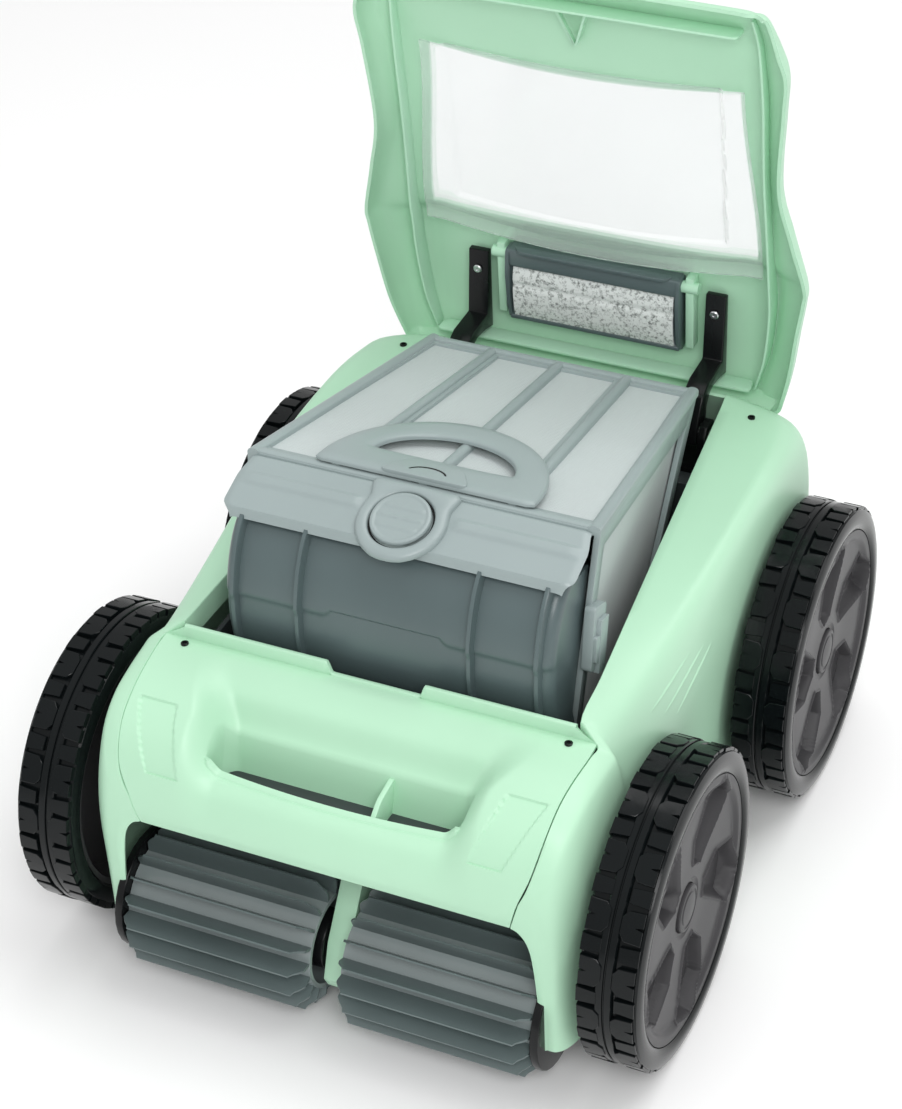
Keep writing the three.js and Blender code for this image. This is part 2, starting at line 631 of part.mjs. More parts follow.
function filterFrame() {
  const outer = wedge(ROOF_FRONT, ROOF_REAR, BASE_FRONT, BASE_REAR);
  const cuts = [basketCavity()];
  for (const [from, to] of [[-1, -0.53], [-0.47, -0.03], [0.03, 0.47], [0.53, 1]]) {
    cuts.push(roofWindow(from, to));
  }
  const sideOpening = [[-52, 96], [88, 96], [130, 252], [-66, 232]];
  cuts.push(prismX(sideOpening, -140, 140));
  const brackets = [-1, 1].map((sign) => prismX([[136, 226], [165, 223], [178, 220], [178, 210],
    [165, 208], [131, 208]], sign * 40 - 4, sign * 40 + 4));
  const bore = rodX(4.4, -60, 60, FILTER_PIVOT.y, FILTER_PIVOT.z);
  const inlet = box(-45, 45, -30, 30, 70, 90);
  const posts = [-1, 1].map((sign) => {
    const x = sign * 114;
    return box(x - 1.6, x + 1.6, 22, 28, 92, 245);
  });
  const catches = [-1, 1].map((sign) => {
    const [x0, x1] = sign > 0 ? [112, 125.5] : [-125.5, -112];
    return prismX([[-74, 186], [-54, 186], [-52, 148], [-68, 148]], x0, x1);
  });
  const walls = shaped([outer, ...brackets, ...catches], [...cuts, bore, inlet]);
  return shaped([walls, ...posts.map((post) => shared(post, outer))]);
}

function roofMesh() {
  const t = BASKET_WALL + GAP;
  const [y0, y1] = [ROOF_FRONT.y + 4, ROOF_REAR.y - t - 1];
  return wedge(roofAt(y0, -t, t + 1), roofAt(y1, -t, t + 1),
    roofAt(y0, -t - 1, t + 1), roofAt(y1, -t - 1, t + 1));
}

// Thin sheet just inside the right-hand wall of the basket.
function sideMesh() {
  const wall = BASKET_WALL + GAP;
  const corner = (station, dy, dz, dx) => [station.half - wall - dx, station.y + dy, station.z + dz];
  const sheet = (dx) => [
    corner(BASE_FRONT, 6, 8, dx), corner(BASE_REAR, -8, 8, dx),
    corner(ROOF_REAR, -8, -9, dx), corner(ROOF_FRONT, 8, -9, dx),
  ];
  const [a, b] = [sheet(1.4), sheet(2.4)];
  const positions = [...a, ...b].flat();
  const faces = [0, 1, 2, 0, 2, 3, 4, 6, 5, 4, 7, 6];
  for (let k = 0; k < 4; k += 1) {
    const next = (k + 1) % 4;
    faces.push(k, k + 4, next + 4, k, next + 4, next);
  }
  const geometry = new THREE.BufferGeometry();
  geometry.setAttribute('position', new THREE.Float32BufferAttribute(positions, 3));
  geometry.setIndex(faces);
  return outward(geometry);
}

const DOOR_FACE = [[-107, 215], [-115, 200], [-118.5, 182], [-118, 164], [-112, 140], [-98, 114],
  [-82, 92], [-66, 78]];

function filterDoor() {
  const back = (z) => BASE_FRONT.y + ((ROOF_FRONT.y - BASE_FRONT.y) * (z - BASE_FRONT.z))
    / (ROOF_FRONT.z - BASE_FRONT.z) - 0.8;
  const section = [...DOOR_FACE, [back(78) + 0.2, 78], [back(215), 215]];
  const outer = prismX(section, -113, 113);
  const hollow = [[-103, 212], [-111, 199], [-114.5, 182], [-114, 165], [-108.5, 142], [-94.5, 116],
    [-80, 96], [-66, 84], [-50, 84], [-50, 212]];
  const ribLine = DOOR_FACE.slice(1, 7);
  const ribOutline = [...ribLine.map(([y, z]) => [y + 1.5, z]),
    ...ribLine.map(([y, z]) => [y - 2.4, z]).reverse()];
  const ribs = [-109, -59, 59, 109].map((x) => prismX(ribOutline, x - 2, x + 2));
  return shaped([shaped([outer], [prismX(hollow, -109.5, 109.5)]), ...ribs]);
}

function filterTray() {
  const corner = (end, z, out) => ({ y: end.y + out, z, half: end.half + 2 });
  const bottom = BASE_FRONT.z - GAP;
  const tray = wedge(corner(BASE_FRONT, bottom, -2), corner(BASE_REAR, bottom, 2),
    corner(BASE_FRONT, bottom - 12, 4), corner(BASE_REAR, bottom - 12, -4));
  return shaped([tray], [box(-40, 40, -28, 28, 50, 90), box(-84, 84, 40, 84, bottom - 9, bottom + 2),
    box(-86, 86, -56, -36, bottom - 9, bottom + 2)]);
}

function carryHandle() {
  const outer = new THREE.Shape();
  outer.moveTo(-75, 0);
  outer.lineTo(75, 0);
  outer.absellipse(0, 8, 75, 84, 0, Math.PI, false);
  const hole = new THREE.Path();
  hole.moveTo(-48, 30);
  hole.absellipse(0, 30, 48, 38, Math.PI, 0, true);
  hole.lineTo(-48, 30);
  outer.holes = [hole];
  return new THREE.ExtrudeGeometry(outer, { depth: 5, bevelEnabled: false, curveSegments: 18 });
}

part(filterParts, 'filter_frame', filterFrame(), BASKET_GREY);
part(filterParts, 'filter_mesh_top', roofMesh(), MESH_GREY);
part(filterParts, 'filter_mesh_right', sideMesh(), MESH_GREY);
part(filterParts, 'filter_mesh_left', mirrored(sideMesh()), MESH_GREY);
part(filterParts, 'filter_door', filterDoor(), DOOR_GREY);
part(filterParts, 'filter_tray', filterTray(), DOOR_GREY);
part(filterParts, 'inlet_flap', box(-43, 43, -29, 29, 82.5, 84.5), RUBBER);

// The handle lies on the roof and swings up about its front edge.
const handlePlane = new THREE.Group();
handlePlane.position.set(0, ROOF_FRONT.y + 3, ROOF_FRONT.z + 1.8);
handlePlane.rotation.x = Math.atan2(ROOF_REAR.z - ROOF_FRONT.z, ROOF_REAR.y - ROOF_FRONT.y);
part(handlePlane, 'carry_handle', carryHandle(), BASKET_GREY);
filterParts.add(handlePlane);

// The flap slopes down from the roof's front edge and carries the latch.
const flapPlane = new THREE.Group();
flapPlane.position.set(0, ROOF_FRONT.y - 0.5, ROOF_FRONT.z + 0.5);
flapPlane.rotation.x = THREE.MathUtils.degToRad(FLAP_ANGLE);
filterParts.add(flapPlane);

function filterFlap() {
  const plate = prismX([[0, 0], [-2, -3], [-FLAP_LENGTH + 2, -3], [-FLAP_LENGTH - 1, -7],
    [-FLAP_LENGTH - 3, -6], [-FLAP_LENGTH, 0]], -FLAP_HALF_WIDTH, FLAP_HALF_WIDTH);
  const ridge = prismX([[-14, -1], [-17, 1.6], [-22, 1.6], [-25, -1]],
    -FLAP_HALF_WIDTH + 8, FLAP_HALF_WIDTH - 8);
  return shaped([plate, ridge], [box(-CLIP_RADIUS - 1, CLIP_RADIUS + 1, -60, -3, 0, 5)]);
}

function latchClip() {
  const outline = new THREE.Shape();
  outline.moveTo(-CLIP_RADIUS, -3);
  outline.lineTo(-CLIP_RADIUS, -BUTTON_DISTANCE);
  outline.absarc(0, -BUTTON_DISTANCE, CLIP_RADIUS, Math.PI, 2 * Math.PI, false);
  outline.lineTo(CLIP_RADIUS, -3);
  outline.lineTo(-CLIP_RADIUS, -3);
  const plate = new THREE.ExtrudeGeometry(outline, { depth: 5, bevelEnabled: false, curveSegments: 16 });
  const well = rodZ(BUTTON_RADIUS + 0.6, 0, -BUTTON_DISTANCE, -5, 15, 32);
  return shaped([plate.translate(0, 0, GAP)], [well]);
}

part(flapPlane, 'filter_flap', filterFlap(), BASKET_GREY);
part(flapPlane, 'latch_clip', latchClip(), BASKET_GREY);
part(flapPlane, 'latch_button',
  rodZ(BUTTON_RADIUS, 0, -BUTTON_DISTANCE, BUTTON_TRAVEL + GAP, BUTTON_TRAVEL + 4, 28), BASKET_GREY);

export default group;
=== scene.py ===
import json
import math

import bpy
import bmesh
from mathutils import Matrix, Vector

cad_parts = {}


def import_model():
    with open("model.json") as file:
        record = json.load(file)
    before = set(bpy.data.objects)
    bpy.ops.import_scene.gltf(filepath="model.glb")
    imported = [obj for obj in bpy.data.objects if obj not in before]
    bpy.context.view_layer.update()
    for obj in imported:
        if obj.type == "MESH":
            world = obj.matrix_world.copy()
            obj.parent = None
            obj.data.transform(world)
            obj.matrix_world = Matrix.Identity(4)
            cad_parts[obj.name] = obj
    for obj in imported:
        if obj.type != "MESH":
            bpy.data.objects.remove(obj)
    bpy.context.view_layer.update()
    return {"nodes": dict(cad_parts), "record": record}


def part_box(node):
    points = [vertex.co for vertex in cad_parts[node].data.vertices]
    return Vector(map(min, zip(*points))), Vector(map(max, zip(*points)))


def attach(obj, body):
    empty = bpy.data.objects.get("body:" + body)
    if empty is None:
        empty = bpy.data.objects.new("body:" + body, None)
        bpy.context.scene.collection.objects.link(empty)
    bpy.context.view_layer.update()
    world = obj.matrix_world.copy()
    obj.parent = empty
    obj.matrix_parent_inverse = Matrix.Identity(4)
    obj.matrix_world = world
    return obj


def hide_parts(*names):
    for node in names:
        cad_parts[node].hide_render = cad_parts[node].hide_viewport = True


# A four-wheeled robotic pool cleaner with its lid open and its filter basket part-lifted.
# Lengths in the shape functions are millimetres in the CAD frame: +Y to the rear, +Z up.

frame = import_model()
NODES = frame["nodes"]
JOINTS = {joint["name"]: joint for joint in frame["record"]["behaviour"]["joints"]}
SLOT_OF = {row["node"]: row["material_slot"] for row in frame["record"]["subparts"]}
BODY_OF = {node: body for body, nodes in frame["record"]["behaviour"]["bodies"].items() for node in nodes}
MM = 0.001


# ---- frame values ----

def node_box(name):
    """Lowest and highest corner of a CAD node, in millimetres."""
    low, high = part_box(name)
    return low / MM, high / MM


def node_middle(name):
    low, high = node_box(name)
    return (low + high) / 2


def facing(place, degrees, axis):
    """Matrix in millimetres that turns a piece about an axis through zero and then moves it."""
    return Matrix.Translation(place) @ Matrix.Rotation(math.radians(degrees), 4, axis)


def turned_about(joint):
    """Matrix in millimetres that carries a piece drawn at a joint's low limit to its rest pose."""
    row = JOINTS[joint]
    pivot = Vector(row["pos_m"]) / MM
    turn = Matrix.Rotation(-math.radians(row["range_deg"][0]), 4, Vector(row["axis"]))
    return Matrix.Translation(pivot) @ turn @ Matrix.Translation(-pivot)


LID_POSE = turned_about("lid_hinge")
FILTER_POSE = turned_about("filter_tilt")


# ---- small maths ----

def lerp(a, b, t):
    return a + (b - a) * t


def smooth(edge0, edge1, value):
    t = min(max((value - edge0) / (edge1 - edge0), 0.0), 1.0)
    return t * t * (3 - 2 * t)


def spread(start, end, count):
    return [lerp(start, end, k / (count - 1)) for k in range(count)]


def curve_at(points, u):
    """Point on a Catmull-Rom curve, where whole values of u are the given points."""
    last = len(points) - 1
    k = min(int(u), last - 1)
    t = u - k
    p0, p1, p2, p3 = (points[min(max(k + j, 0), last)] for j in (-1, 0, 1, 2))
    return tuple(0.5 * (2 * b + (c - a) * t + (2 * a - 5 * b + 4 * c - d) * t * t
                        + (3 * b - a - 3 * c + d) * t ** 3)
                 for a, b, c, d in zip(p0, p1, p2, p3))


def rounded(points, radius, steps=4):
    """A closed outline with its corners rounded."""
    out = []
    for k, here in enumerate(points):
        here = Vector(here)
        before = Vector(points[k - 1]) - here
        after = Vector(points[(k + 1) % len(points)]) - here
        cut = min(radius, before.length / 2.05, after.length / 2.05)
        a = here + before.normalized() * cut
        b = here + after.normalized() * cut
        for t in spread(0, 1, steps + 1):
            out.append(tuple(a.lerp(here, t).lerp(here.lerp(b, t), t)))
    return out


# ---- mesh helpers ----

def finish_mesh(piece, sharp_deg=38):
    """Applies the piece's modifiers and shades it."""
    bpy.context.view_layer.update()
    evaluated = piece.evaluated_get(bpy.context.evaluated_depsgraph_get())
    mesh = bpy.data.meshes.new_from_object(evaluated)
    piece.modifiers.clear()
    piece.data = mesh
    mesh.shade_smooth()
    mesh.set_sharp_from_angle(angle=math.radians(sharp_deg))
    return piece


def new_piece(name, points, faces, pose=None):
    mesh = bpy.data.meshes.new(name)
    pose = pose or Matrix.Identity(4)
    mesh.from_pydata([(pose @ Vector(p)) * MM for p in points], [], faces)
    body = bmesh.new()
    body.from_mesh(mesh)
    bmesh.ops.remove_doubles(body, verts=body.verts, dist=1e-6)
    bmesh.ops.dissolve_degenerate(body, edges=body.edges, dist=1e-7)
    bmesh.ops.recalc_face_normals(body, faces=body.faces)
    body.to_mesh(mesh)
    body.free()
    piece = bpy.data.objects.new(name, mesh)
    bpy.context.scene.collection.objects.link(piece)
    return piece


def settle(piece, material, node, body=None):
    """Gives a finished piece its material and body. If no body is named, it stands for its CAD node."""
    piece.data.materials.clear()
    piece.data.materials.append(material)
    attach(piece, body or BODY_OF[node])
    if not body:
        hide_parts(node)
    return piece


def add_bevel(piece, width, segments=3):
    bevel = piece.modifiers.new("bevel", "BEVEL")
    bevel.width = width * MM
    bevel.segments = segments
    bevel.limit_method = "ANGLE"
    bevel.angle_limit = math.radians(30)
    bevel.use_clamp_overlap = True
    bevel.miter_outer = "MITER_ARC"


def add_thickness(piece, width):
    shell = piece.modifiers.new("thickness", "SOLIDIFY")
    shell.thickness = width * MM
    shell.offset = -1
    shell.use_even_offset = False


def add_solid(name, shape, material, node, pose=None, bevel=None, sharp_deg=38, body=None):
    """A whole piece from its points and faces: drawn, eased, shaded and settled."""
    piece = new_piece(name, *shape, pose=pose)
    if bevel:
        add_bevel(piece, *bevel)
    return settle(finish_mesh(piece, sharp_deg), material, node, body)


def add_shell(name, rows, thickness, material, node, pose=None, skip=None, sharp_deg=38):
    """A thin-walled piece from rows of points on its outer face, with the skipped cells left open."""
    points = [p for row in rows for p in row]
    piece = new_piece(name, points, grid_faces(len(rows), len(rows[0]), skip), pose)
    add_thickness(piece, thickness)
    return settle(finish_mesh(piece, sharp_deg), material, node)


def grid_faces(rows, columns, skip=None, closed=False):
    faces = []
    for r in range(rows - 1):
        for c in range(columns if closed else columns - 1):
            if skip and skip(r, c):
                continue
            d = (c + 1) % columns
            faces.append((r * columns + c, r * columns + d, (r + 1) * columns + d, (r + 1) * columns + c))
    return faces


def tube(rows, capped=True):
    """Points and faces of closed outlines joined one to the next, with flat ends if capped."""
    count = len(rows[0])
    faces = grid_faces(len(rows), count, closed=True)
    if capped:
        faces += [tuple(range(count)), tuple(range((len(rows) - 1) * count, len(rows) * count))]
    return [p for row in rows for p in row], faces


def looped(rows):
    """Points and faces of closed outlines joined one to the next, and the last one to the first."""
    points = [p for row in rows for p in row]
    faces = grid_faces(len(rows) + 1, len(rows[0]), closed=True)
    return points, [tuple(k % len(points) for k in face) for face in faces]


def circle(radius, count):
    turns = (2 * math.pi * k / count for k in range(count))
    return [(radius * math.cos(a), radius * math.sin(a)) for a in turns]


def prism(outline, low, high, axis):
    """Points and faces of an outline swept along an axis: 'x' takes (y, z), 'y' (x, z), 'z' (x, y)."""
    along = "xyz".index(axis)
    return tube([[(a, b)[:along] + (c,) + (a, b)[along:] for a, b in outline] for c in (low, high)])


def plate_pair(outline, x, half):
    """Two plates with an outline of (y, z), at x and at -x, each twice `half` thick."""
    return [prism(outline, s * x - half, s * x + half, "x") for s in (-1, 1)]


def merged(*parts):
    points, faces = [], []
    for more_points, more_faces in parts:
        start = len(points)
        points += list(more_points)
        faces += [tuple(start + k for k in face) for face in more_faces]
    return points, faces


def ring_solid(profile, segments, centre=(0, 0)):
    """A closed profile of (radius, x) turned about the X axis, with its centre at (y, z)."""
    rows = [[(x, centre[0] + r * along, centre[1] + r * up) for r, x in profile]
            for along, up in circle(1, segments)]
    return looped(rows)


def refined(node, material, bevel):
    """A copy of a CAD node's shape with its flat faces joined up and its edges rounded."""
    mesh = NODES[node].data.copy()
    body = bmesh.new()
    body.from_mesh(mesh)
    bmesh.ops.remove_doubles(body, verts=body.verts, dist=2e-5)
    bmesh.ops.dissolve_limit(body, angle_limit=math.radians(1.0), verts=body.verts, edges=body.edges)
    body.to_mesh(mesh)
    body.free()
    piece = bpy.data.objects.new(node + "_shape", mesh)
    bpy.context.scene.collection.objects.link(piece)
    add_bevel(piece, bevel)
    return settle(finish_mesh(piece), material, node)


# ---- materials ----

def add_node(tree, kind, **values):
    node = tree.nodes.new("ShaderNode" + kind)
    set_sockets(node, values)
    return node


def set_sockets(node, values):
    for socket, value in values.items():
        node.inputs[socket.replace("_", " ")].default_value = value


def wire(tree, *joins):
    """Links nodes, each join being (node, output, node, input)."""
    for source, output, target, socket in joins:
        tree.links.new(source.outputs[output], target.inputs[socket])


def material(name, colour, roughness, grain=900.0, bump=0.02, vary=0.05, **sockets):
    """Moulded plastic or rubber: a slow colour drift, a fine grain and a varying gloss."""
    mat = bpy.data.materials.new(name)
    mat.use_nodes = True
    tree = mat.node_tree
    shader = tree.nodes["Principled BSDF"]
    place = add_node(tree, "TexCoord")
    slow = add_node(tree, "TexNoise", Scale=9.0, Detail=4.0)
    slow.label = "drift"
    fine = add_node(tree, "TexNoise", Scale=grain, Detail=3.0)
    ramp = add_node(tree, "ValToRGB")
    set_ramp(ramp.color_ramp, (0.3, [c * (1 - vary) for c in colour] + [1]),
             (0.7, [min(c * (1 + vary), 1) for c in colour] + [1]))
    gloss = add_node(tree, "MapRange", To_Min=roughness * 0.85, To_Max=min(roughness * 1.18, 1))
    height = add_node(tree, "Bump", Strength=bump, Distance=0.0006)
    wire(tree, (place, "Object", slow, "Vector"), (place, "Object", fine, "Vector"),
         (slow, "Fac", ramp, "Fac"), (slow, "Fac", gloss, "Value"), (fine, "Fac", height, "Height"),
         (ramp, "Color", shader, "Base Color"), (gloss, "Result", shader, "Roughness"),
         (height, "Normal", shader, "Normal"))
    set_sockets(shader, sockets)
    return mat


def set_ramp(ramp, *stops):
    for element, (position, colour) in zip(ramp.elements, stops):
        element.position = position
        element.color = colour


def speckled(mat, scale, *stops):
    """Replaces the slow drift by coarse speckles, as in cast foam. Each stop is (place, colour)."""
    nodes = mat.node_tree.nodes
    noise = next(n for n in nodes if n.label == "drift")
    set_sockets(noise, {"Scale": scale, "Roughness": 0.75})
    set_ramp(next(n for n in nodes if n.type == "VALTORGB").color_ramp, *stops)
    return mat


def woven(mat, threads_per_m):
    """Lays a fine crossed weave over the surface in place of the grain."""
    tree = mat.node_tree
    place = next(n for n in tree.nodes if n.type == "TEX_COORD")
    bump = next(n for n in tree.nodes if n.type == "BUMP")
    both = add_node(tree, "Math")
    both.operation = "MULTIPLY"
    for k, direction in enumerate("XY"):
        wave = add_node(tree, "TexWave", Scale=threads_per_m / 6.283)
        wave.bands_direction = direction
        wire(tree, (place, "Object", wave, "Vector"), (wave, "Fac", both, k))
    wire(tree, (both, "Value", bump, "Height"))
    return mat


MINT = material("mint_plastic", (0.455, 0.735, 0.53), 0.42, bump=0.012, vary=0.02)
# A lighter copy of the mint plastic for the ribs and bosses inside the lid: painted light that lifts them
# out of the lid's shade.
MINT_PAINTED_LIGHT = material("mint_painted_light", (0.48, 0.765, 0.565), 0.45, bump=0.02, vary=0.03)
TYRE = material("tyre_rubber", (0.004, 0.0055, 0.006), 0.17, grain=500, bump=0.03, vary=0.2,
                Specular_IOR_Level=0.2)
WHEEL = material("wheel_plastic", (0.052, 0.051, 0.054), 0.36, grain=1400, bump=0.05, vary=0.1,
                 Specular_IOR_Level=0.18)
LIGHT_GREY = material("light_grey_plastic", (0.30, 0.36, 0.36), 0.34, bump=0.015, vary=0.04)
DOOR_GREY = material("dark_grey_plastic", (0.092, 0.128, 0.132), 0.33, bump=0.012, vary=0.08)
CHASSIS = material("chassis_plastic", (0.035, 0.042, 0.045), 0.5, bump=0.05, vary=0.12)
BLACK = material("black_plastic", (0.006, 0.0065, 0.007), 0.22, bump=0.02, vary=0.2,
                 Specular_IOR_Level=0.25)
BRUSH = material("brush_rubber", (0.115, 0.15, 0.15), 0.34, grain=700, bump=0.04, vary=0.14)
# Lighter than the blades: the sleeve's own tone plus a painted highlight for the bright strip between
# them, with a low roughness for its gloss.
BRUSH_BASE = material("brush_base", (0.24, 0.28, 0.28), 0.16, grain=700, bump=0.03, vary=0.1)
STEEL = material("steel", (0.62, 0.63, 0.64), 0.34, grain=1800, bump=0.05, vary=0.06, Metallic=1.0)
FLAP_RUBBER = material("flap_rubber", (0.02, 0.022, 0.023), 0.7, bump=0.1, vary=0.15)
FABRIC = woven(material("filter_fabric", (0.48, 0.53, 0.53), 0.62, bump=0.22, vary=0.05,
                        Sheen_Weight=0.2), 900.0)
FOAM = speckled(material("float_foam", (0.5, 0.54, 0.53), 0.85, grain=900, bump=0.35), 340.0,
                (0.34, (0.16, 0.18, 0.17, 1)), (0.52, (0.80, 0.84, 0.82, 1)))
WINDOW = material("clear_window", (0.93, 0.96, 0.96), 0.08, bump=0.006, vary=0.02,
                  Transmission_Weight=0.72, IOR=1.3, Alpha=0.55)
SLOT_MATERIAL = {
    "mint_plastic": MINT, "tyre_rubber": TYRE, "wheel_plastic": WHEEL, "light_grey_plastic": LIGHT_GREY,
    "dark_grey_plastic": DOOR_GREY, "chassis_plastic": CHASSIS, "black_plastic": BLACK,
    "brush_rubber": BRUSH, "steel": STEEL, "flap_rubber": FLAP_RUBBER, "filter_fabric": FABRIC,
    "float_foam": FOAM, "clear_window": WINDOW,
}


# ---- wheels ----

WHEEL_LOW, WHEEL_HIGH = node_box("tyre_front_right")
WHEEL_WIDTH = WHEEL_HIGH.x - WHEEL_LOW.x
WHEEL_RADIUS = (WHEEL_HIGH.z - WHEEL_LOW.z) / 2
RIM_RADIUS = node_box("wheel_disc_front_right")[1].z - WHEEL_RADIUS
TREAD_FLOOR = WHEEL_RADIUS - 3.6
TREAD_UNITS = 18
UNIT_DEG = 360 / TREAD_UNITS


def tread_block(outline, top):
    """One block: an outline of (x, degrees) raised from the tread floor, with chamfered edges."""
    centre_x = sum(x for x, _ in outline) / len(outline)
    centre_a = sum(a for _, a in outline) / len(outline)
    # Radius, and the share of the outline's full size there.
    levels = [(TREAD_FLOOR - 1.0, 1.02), (top - 0.8, 1.0), (top - 0.25, 0.985), (top, 0.95)]
    rows = []
    for radius, share in levels + [(top, 0.0)]:
        row = []
        for x, degrees in outline:
            a = math.radians(centre_a + (degrees - centre_a) * share)
            row.append((centre_x + (x - centre_x) * share, radius * math.cos(a), radius * math.sin(a)))
        rows.append(row)
    points, faces = tube(rows, capped=False)
    return points, faces + [tuple(range(len(outline)))]


def arc_sampled(outline, step=1.8):
    """Adds points along an outline's long edges, so that they follow the tyre's curve."""
    out = []
    for k, (x0, a0) in enumerate(outline):
        x1, a1 = outline[(k + 1) % len(outline)]
        count = max(int(abs(a1 - a0) / step), 1)
        out += [(lerp(x0, x1, j / count), lerp(a0, a1, j / count)) for j in range(count)]
    return out


def tyre_shape():
    w = WHEEL_WIDTH
    floor = TREAD_FLOOR
    carcass = ring_solid([
        (RIM_RADIUS + 0.4, 1.5), (RIM_RADIUS + 2, 0.4), (floor - 4, 0.3), (floor - 1, 1.5), (floor, 3),
        (floor, 12.2), (floor + 2.0, 12.8), (floor + 2.7, 13.6), (floor + 2.7, 17.0), (floor + 2.2, 17.5),
        (floor + 1.2, 17.7), (floor + 1.2, 18.5), (floor + 2.2, 18.7), (floor + 2.7, 19.2),
        (floor + 2.7, 23.0), (floor + 2.0, 23.7), (floor, 24.4), (floor, w - 4.0), (floor + 1.6, w - 3.2),
        (floor + 1.0, w - 1.6), (floor - 2, w - 0.4), (RIM_RADIUS + 6, w), (RIM_RADIUS + 2, w - 0.5),
        (RIM_RADIUS + 0.4, w - 1.8)], 144)
    block_outline = [(23.4, 2.6), (26.8, 0.4), (37.6, 0.1), (37.6, 4.9), (32.4, 5.5), (37.6, 6.2),
                     (37.6, 11.2), (26.8, 10.9), (23.4, 8.4)]
    lug_outline = [(25.4, 12.9), (38.4, 12.4), (38.4, 18.6), (25.4, 18.0)]
    blocks = []
    for unit in range(TREAD_UNITS):
        for outline, top in ((block_outline, WHEEL_RADIUS), (lug_outline, WHEEL_RADIUS - 0.35)):
            for across, shift in ((lambda x: x, 0.0), (lambda x: w - 1.5 - x, -1.2)):
                placed = [(across(x), a + shift + unit * UNIT_DEG) for x, a in outline]
                blocks.append(tread_block(arc_sampled(placed), top))
    return merged(carcass, *blocks)


POCKETS = 5
POCKET_OUTLINE = [(27, 14), (76, 21), (72, 43), (49, 57), (25, 43), (19, 24)]
POCKET_DEPTH = 8.0


def edge_distance(start, end, x, y):
    """Signed distance to the line from start to end, positive on its right."""
    along_x, along_y = end[0] - start[0], end[1] - start[1]
    return ((x - start[0]) * along_y - (y - start[1]) * along_x) / math.hypot(along_x, along_y)


def outline_distance(outline, x, y):
    """Signed distance to a convex outline given anticlockwise, negative inside."""
    return max(edge_distance(a, outline[(k + 1) % len(outline)], x, y) for k, a in enumerate(outline))


def disc_height(radius, angle):
    """Height of the disc's outer face above the wheel's inner face."""
    base = lerp(34.0, 36.2, smooth(30, 76, radius))
    base += 2.9 * smooth(77.5, 82.5, radius)
    base -= 1.3 * smooth(15.8, 16.6, radius) * (1 - smooth(18.5, 20.5, radius))
    for pocket in range(POCKETS):
        turn = angle - 2 * math.pi * pocket / POCKETS
        x, y = radius * math.cos(turn), radius * math.sin(turn)
        away = outline_distance(POCKET_OUTLINE, x, y)
        long_edge = edge_distance(POCKET_OUTLINE[0], POCKET_OUTLINE[1], x, y)
        base -= POCKET_DEPTH * smooth(0.3, -1.7, away) * smooth(2.0, -6.5, long_edge)
        base += 1.1 * smooth(2.4, 1.2, away) * smooth(0.1, 0.9, away)
    return base


def disc_shape():
    radii = [16.6, 18, 19.5] + spread(20.5, 82.5, 78) + [84, RIM_RADIUS - 1.2, RIM_RADIUS - 0.3]
    back = [(RIM_RADIUS, 37.0), (RIM_RADIUS, 3.0), (RIM_RADIUS - 4, 3.0), (RIM_RADIUS - 9, 22.0),
            (26.0, 22.0), (24.0, 4.0), (8.0, 4.0), (8.0, 24.0), (16.0, 27.0)]
    around = 450
    rows = [[(disc_height(radius, 2 * math.pi * k / around), y, z)
             for k, (y, z) in enumerate(circle(radius, around))] for radius in radii]
    rows += [[(x, y, z) for y, z in circle(radius, around)] for radius, x in back]
    return looped(rows)


def cap_shape():
    profile = [(0.01, 27.0), (15.2, 27.0), (15.9, 28.0), (15.9, 34.4), (15.3, 35.3), (13.6, 35.6),
               (12.8, 35.0), (11.6, 35.0), (10.8, 35.7), (5.0, 36.3), (0.01, 36.4)]
    return ring_solid(profile, 64)


def wheel(end, side, phase_deg):
    """Right-hand wheels are drawn from their inner face outward, and left-hand ones turned round."""
    low, high = node_box(f"tyre_{end}_{side}")
    centre = (low + high) / 2
    inner_x = low.x if side == "right" else high.x
    pose = facing((inner_x, centre.y, centre.z), 0 if side == "right" else 180, "Z")
    pose = pose @ Matrix.Rotation(math.radians(phase_deg), 4, "X")
    for kind, shape, mat in (("tyre", tyre_shape, TYRE), ("wheel_disc", disc_shape, WHEEL),
                             ("hub_cap", cap_shape, WHEEL)):
        node = f"{kind}_{end}_{side}"
        add_solid(node + "_shape", shape(), mat, node, pose, sharp_deg=32)


for wheel_end, wheel_side, wheel_phase in (("front", "right", 20), ("rear", "right", -16),
                                           ("front", "left", 5), ("rear", "left", 40)):
    wheel(wheel_end, wheel_side, wheel_phase)


# ---- brush rollers ----

LAMELLAE = 18
SLEEVE_RADIUS = 32.6
SLEEVE_WALL = 3
LAMELLA_LEAN = 1.2


def lamella(turn, centre, inner, outer, tip):
    """One rubber blade: it leans and gets thinner towards its tip, where its ends are cut off."""
    radial = Vector((0, math.cos(turn), math.sin(turn)))
    across = Vector((0, -math.sin(turn), math.cos(turn)))
    rows = []
    for t in spread(0, 1, 7):
        half = lerp(1.1, 0.55, t)
        cut = 0.5 + 7.0 * smooth(0.45, 1.0, t)
        middle = centre + radial * lerp(SLEEVE_RADIUS - 1.0, tip, t) + across * LAMELLA_LEAN * t * t
        xs = spread(inner + cut, outer - cut, 14)
        rows.append([tuple(middle + across * half + Vector((x, 0, 0))) for x in xs]
                    + [tuple(middle - across * half + Vector((x, 0, 0))) for x in reversed(xs)])
    return tube(rows)


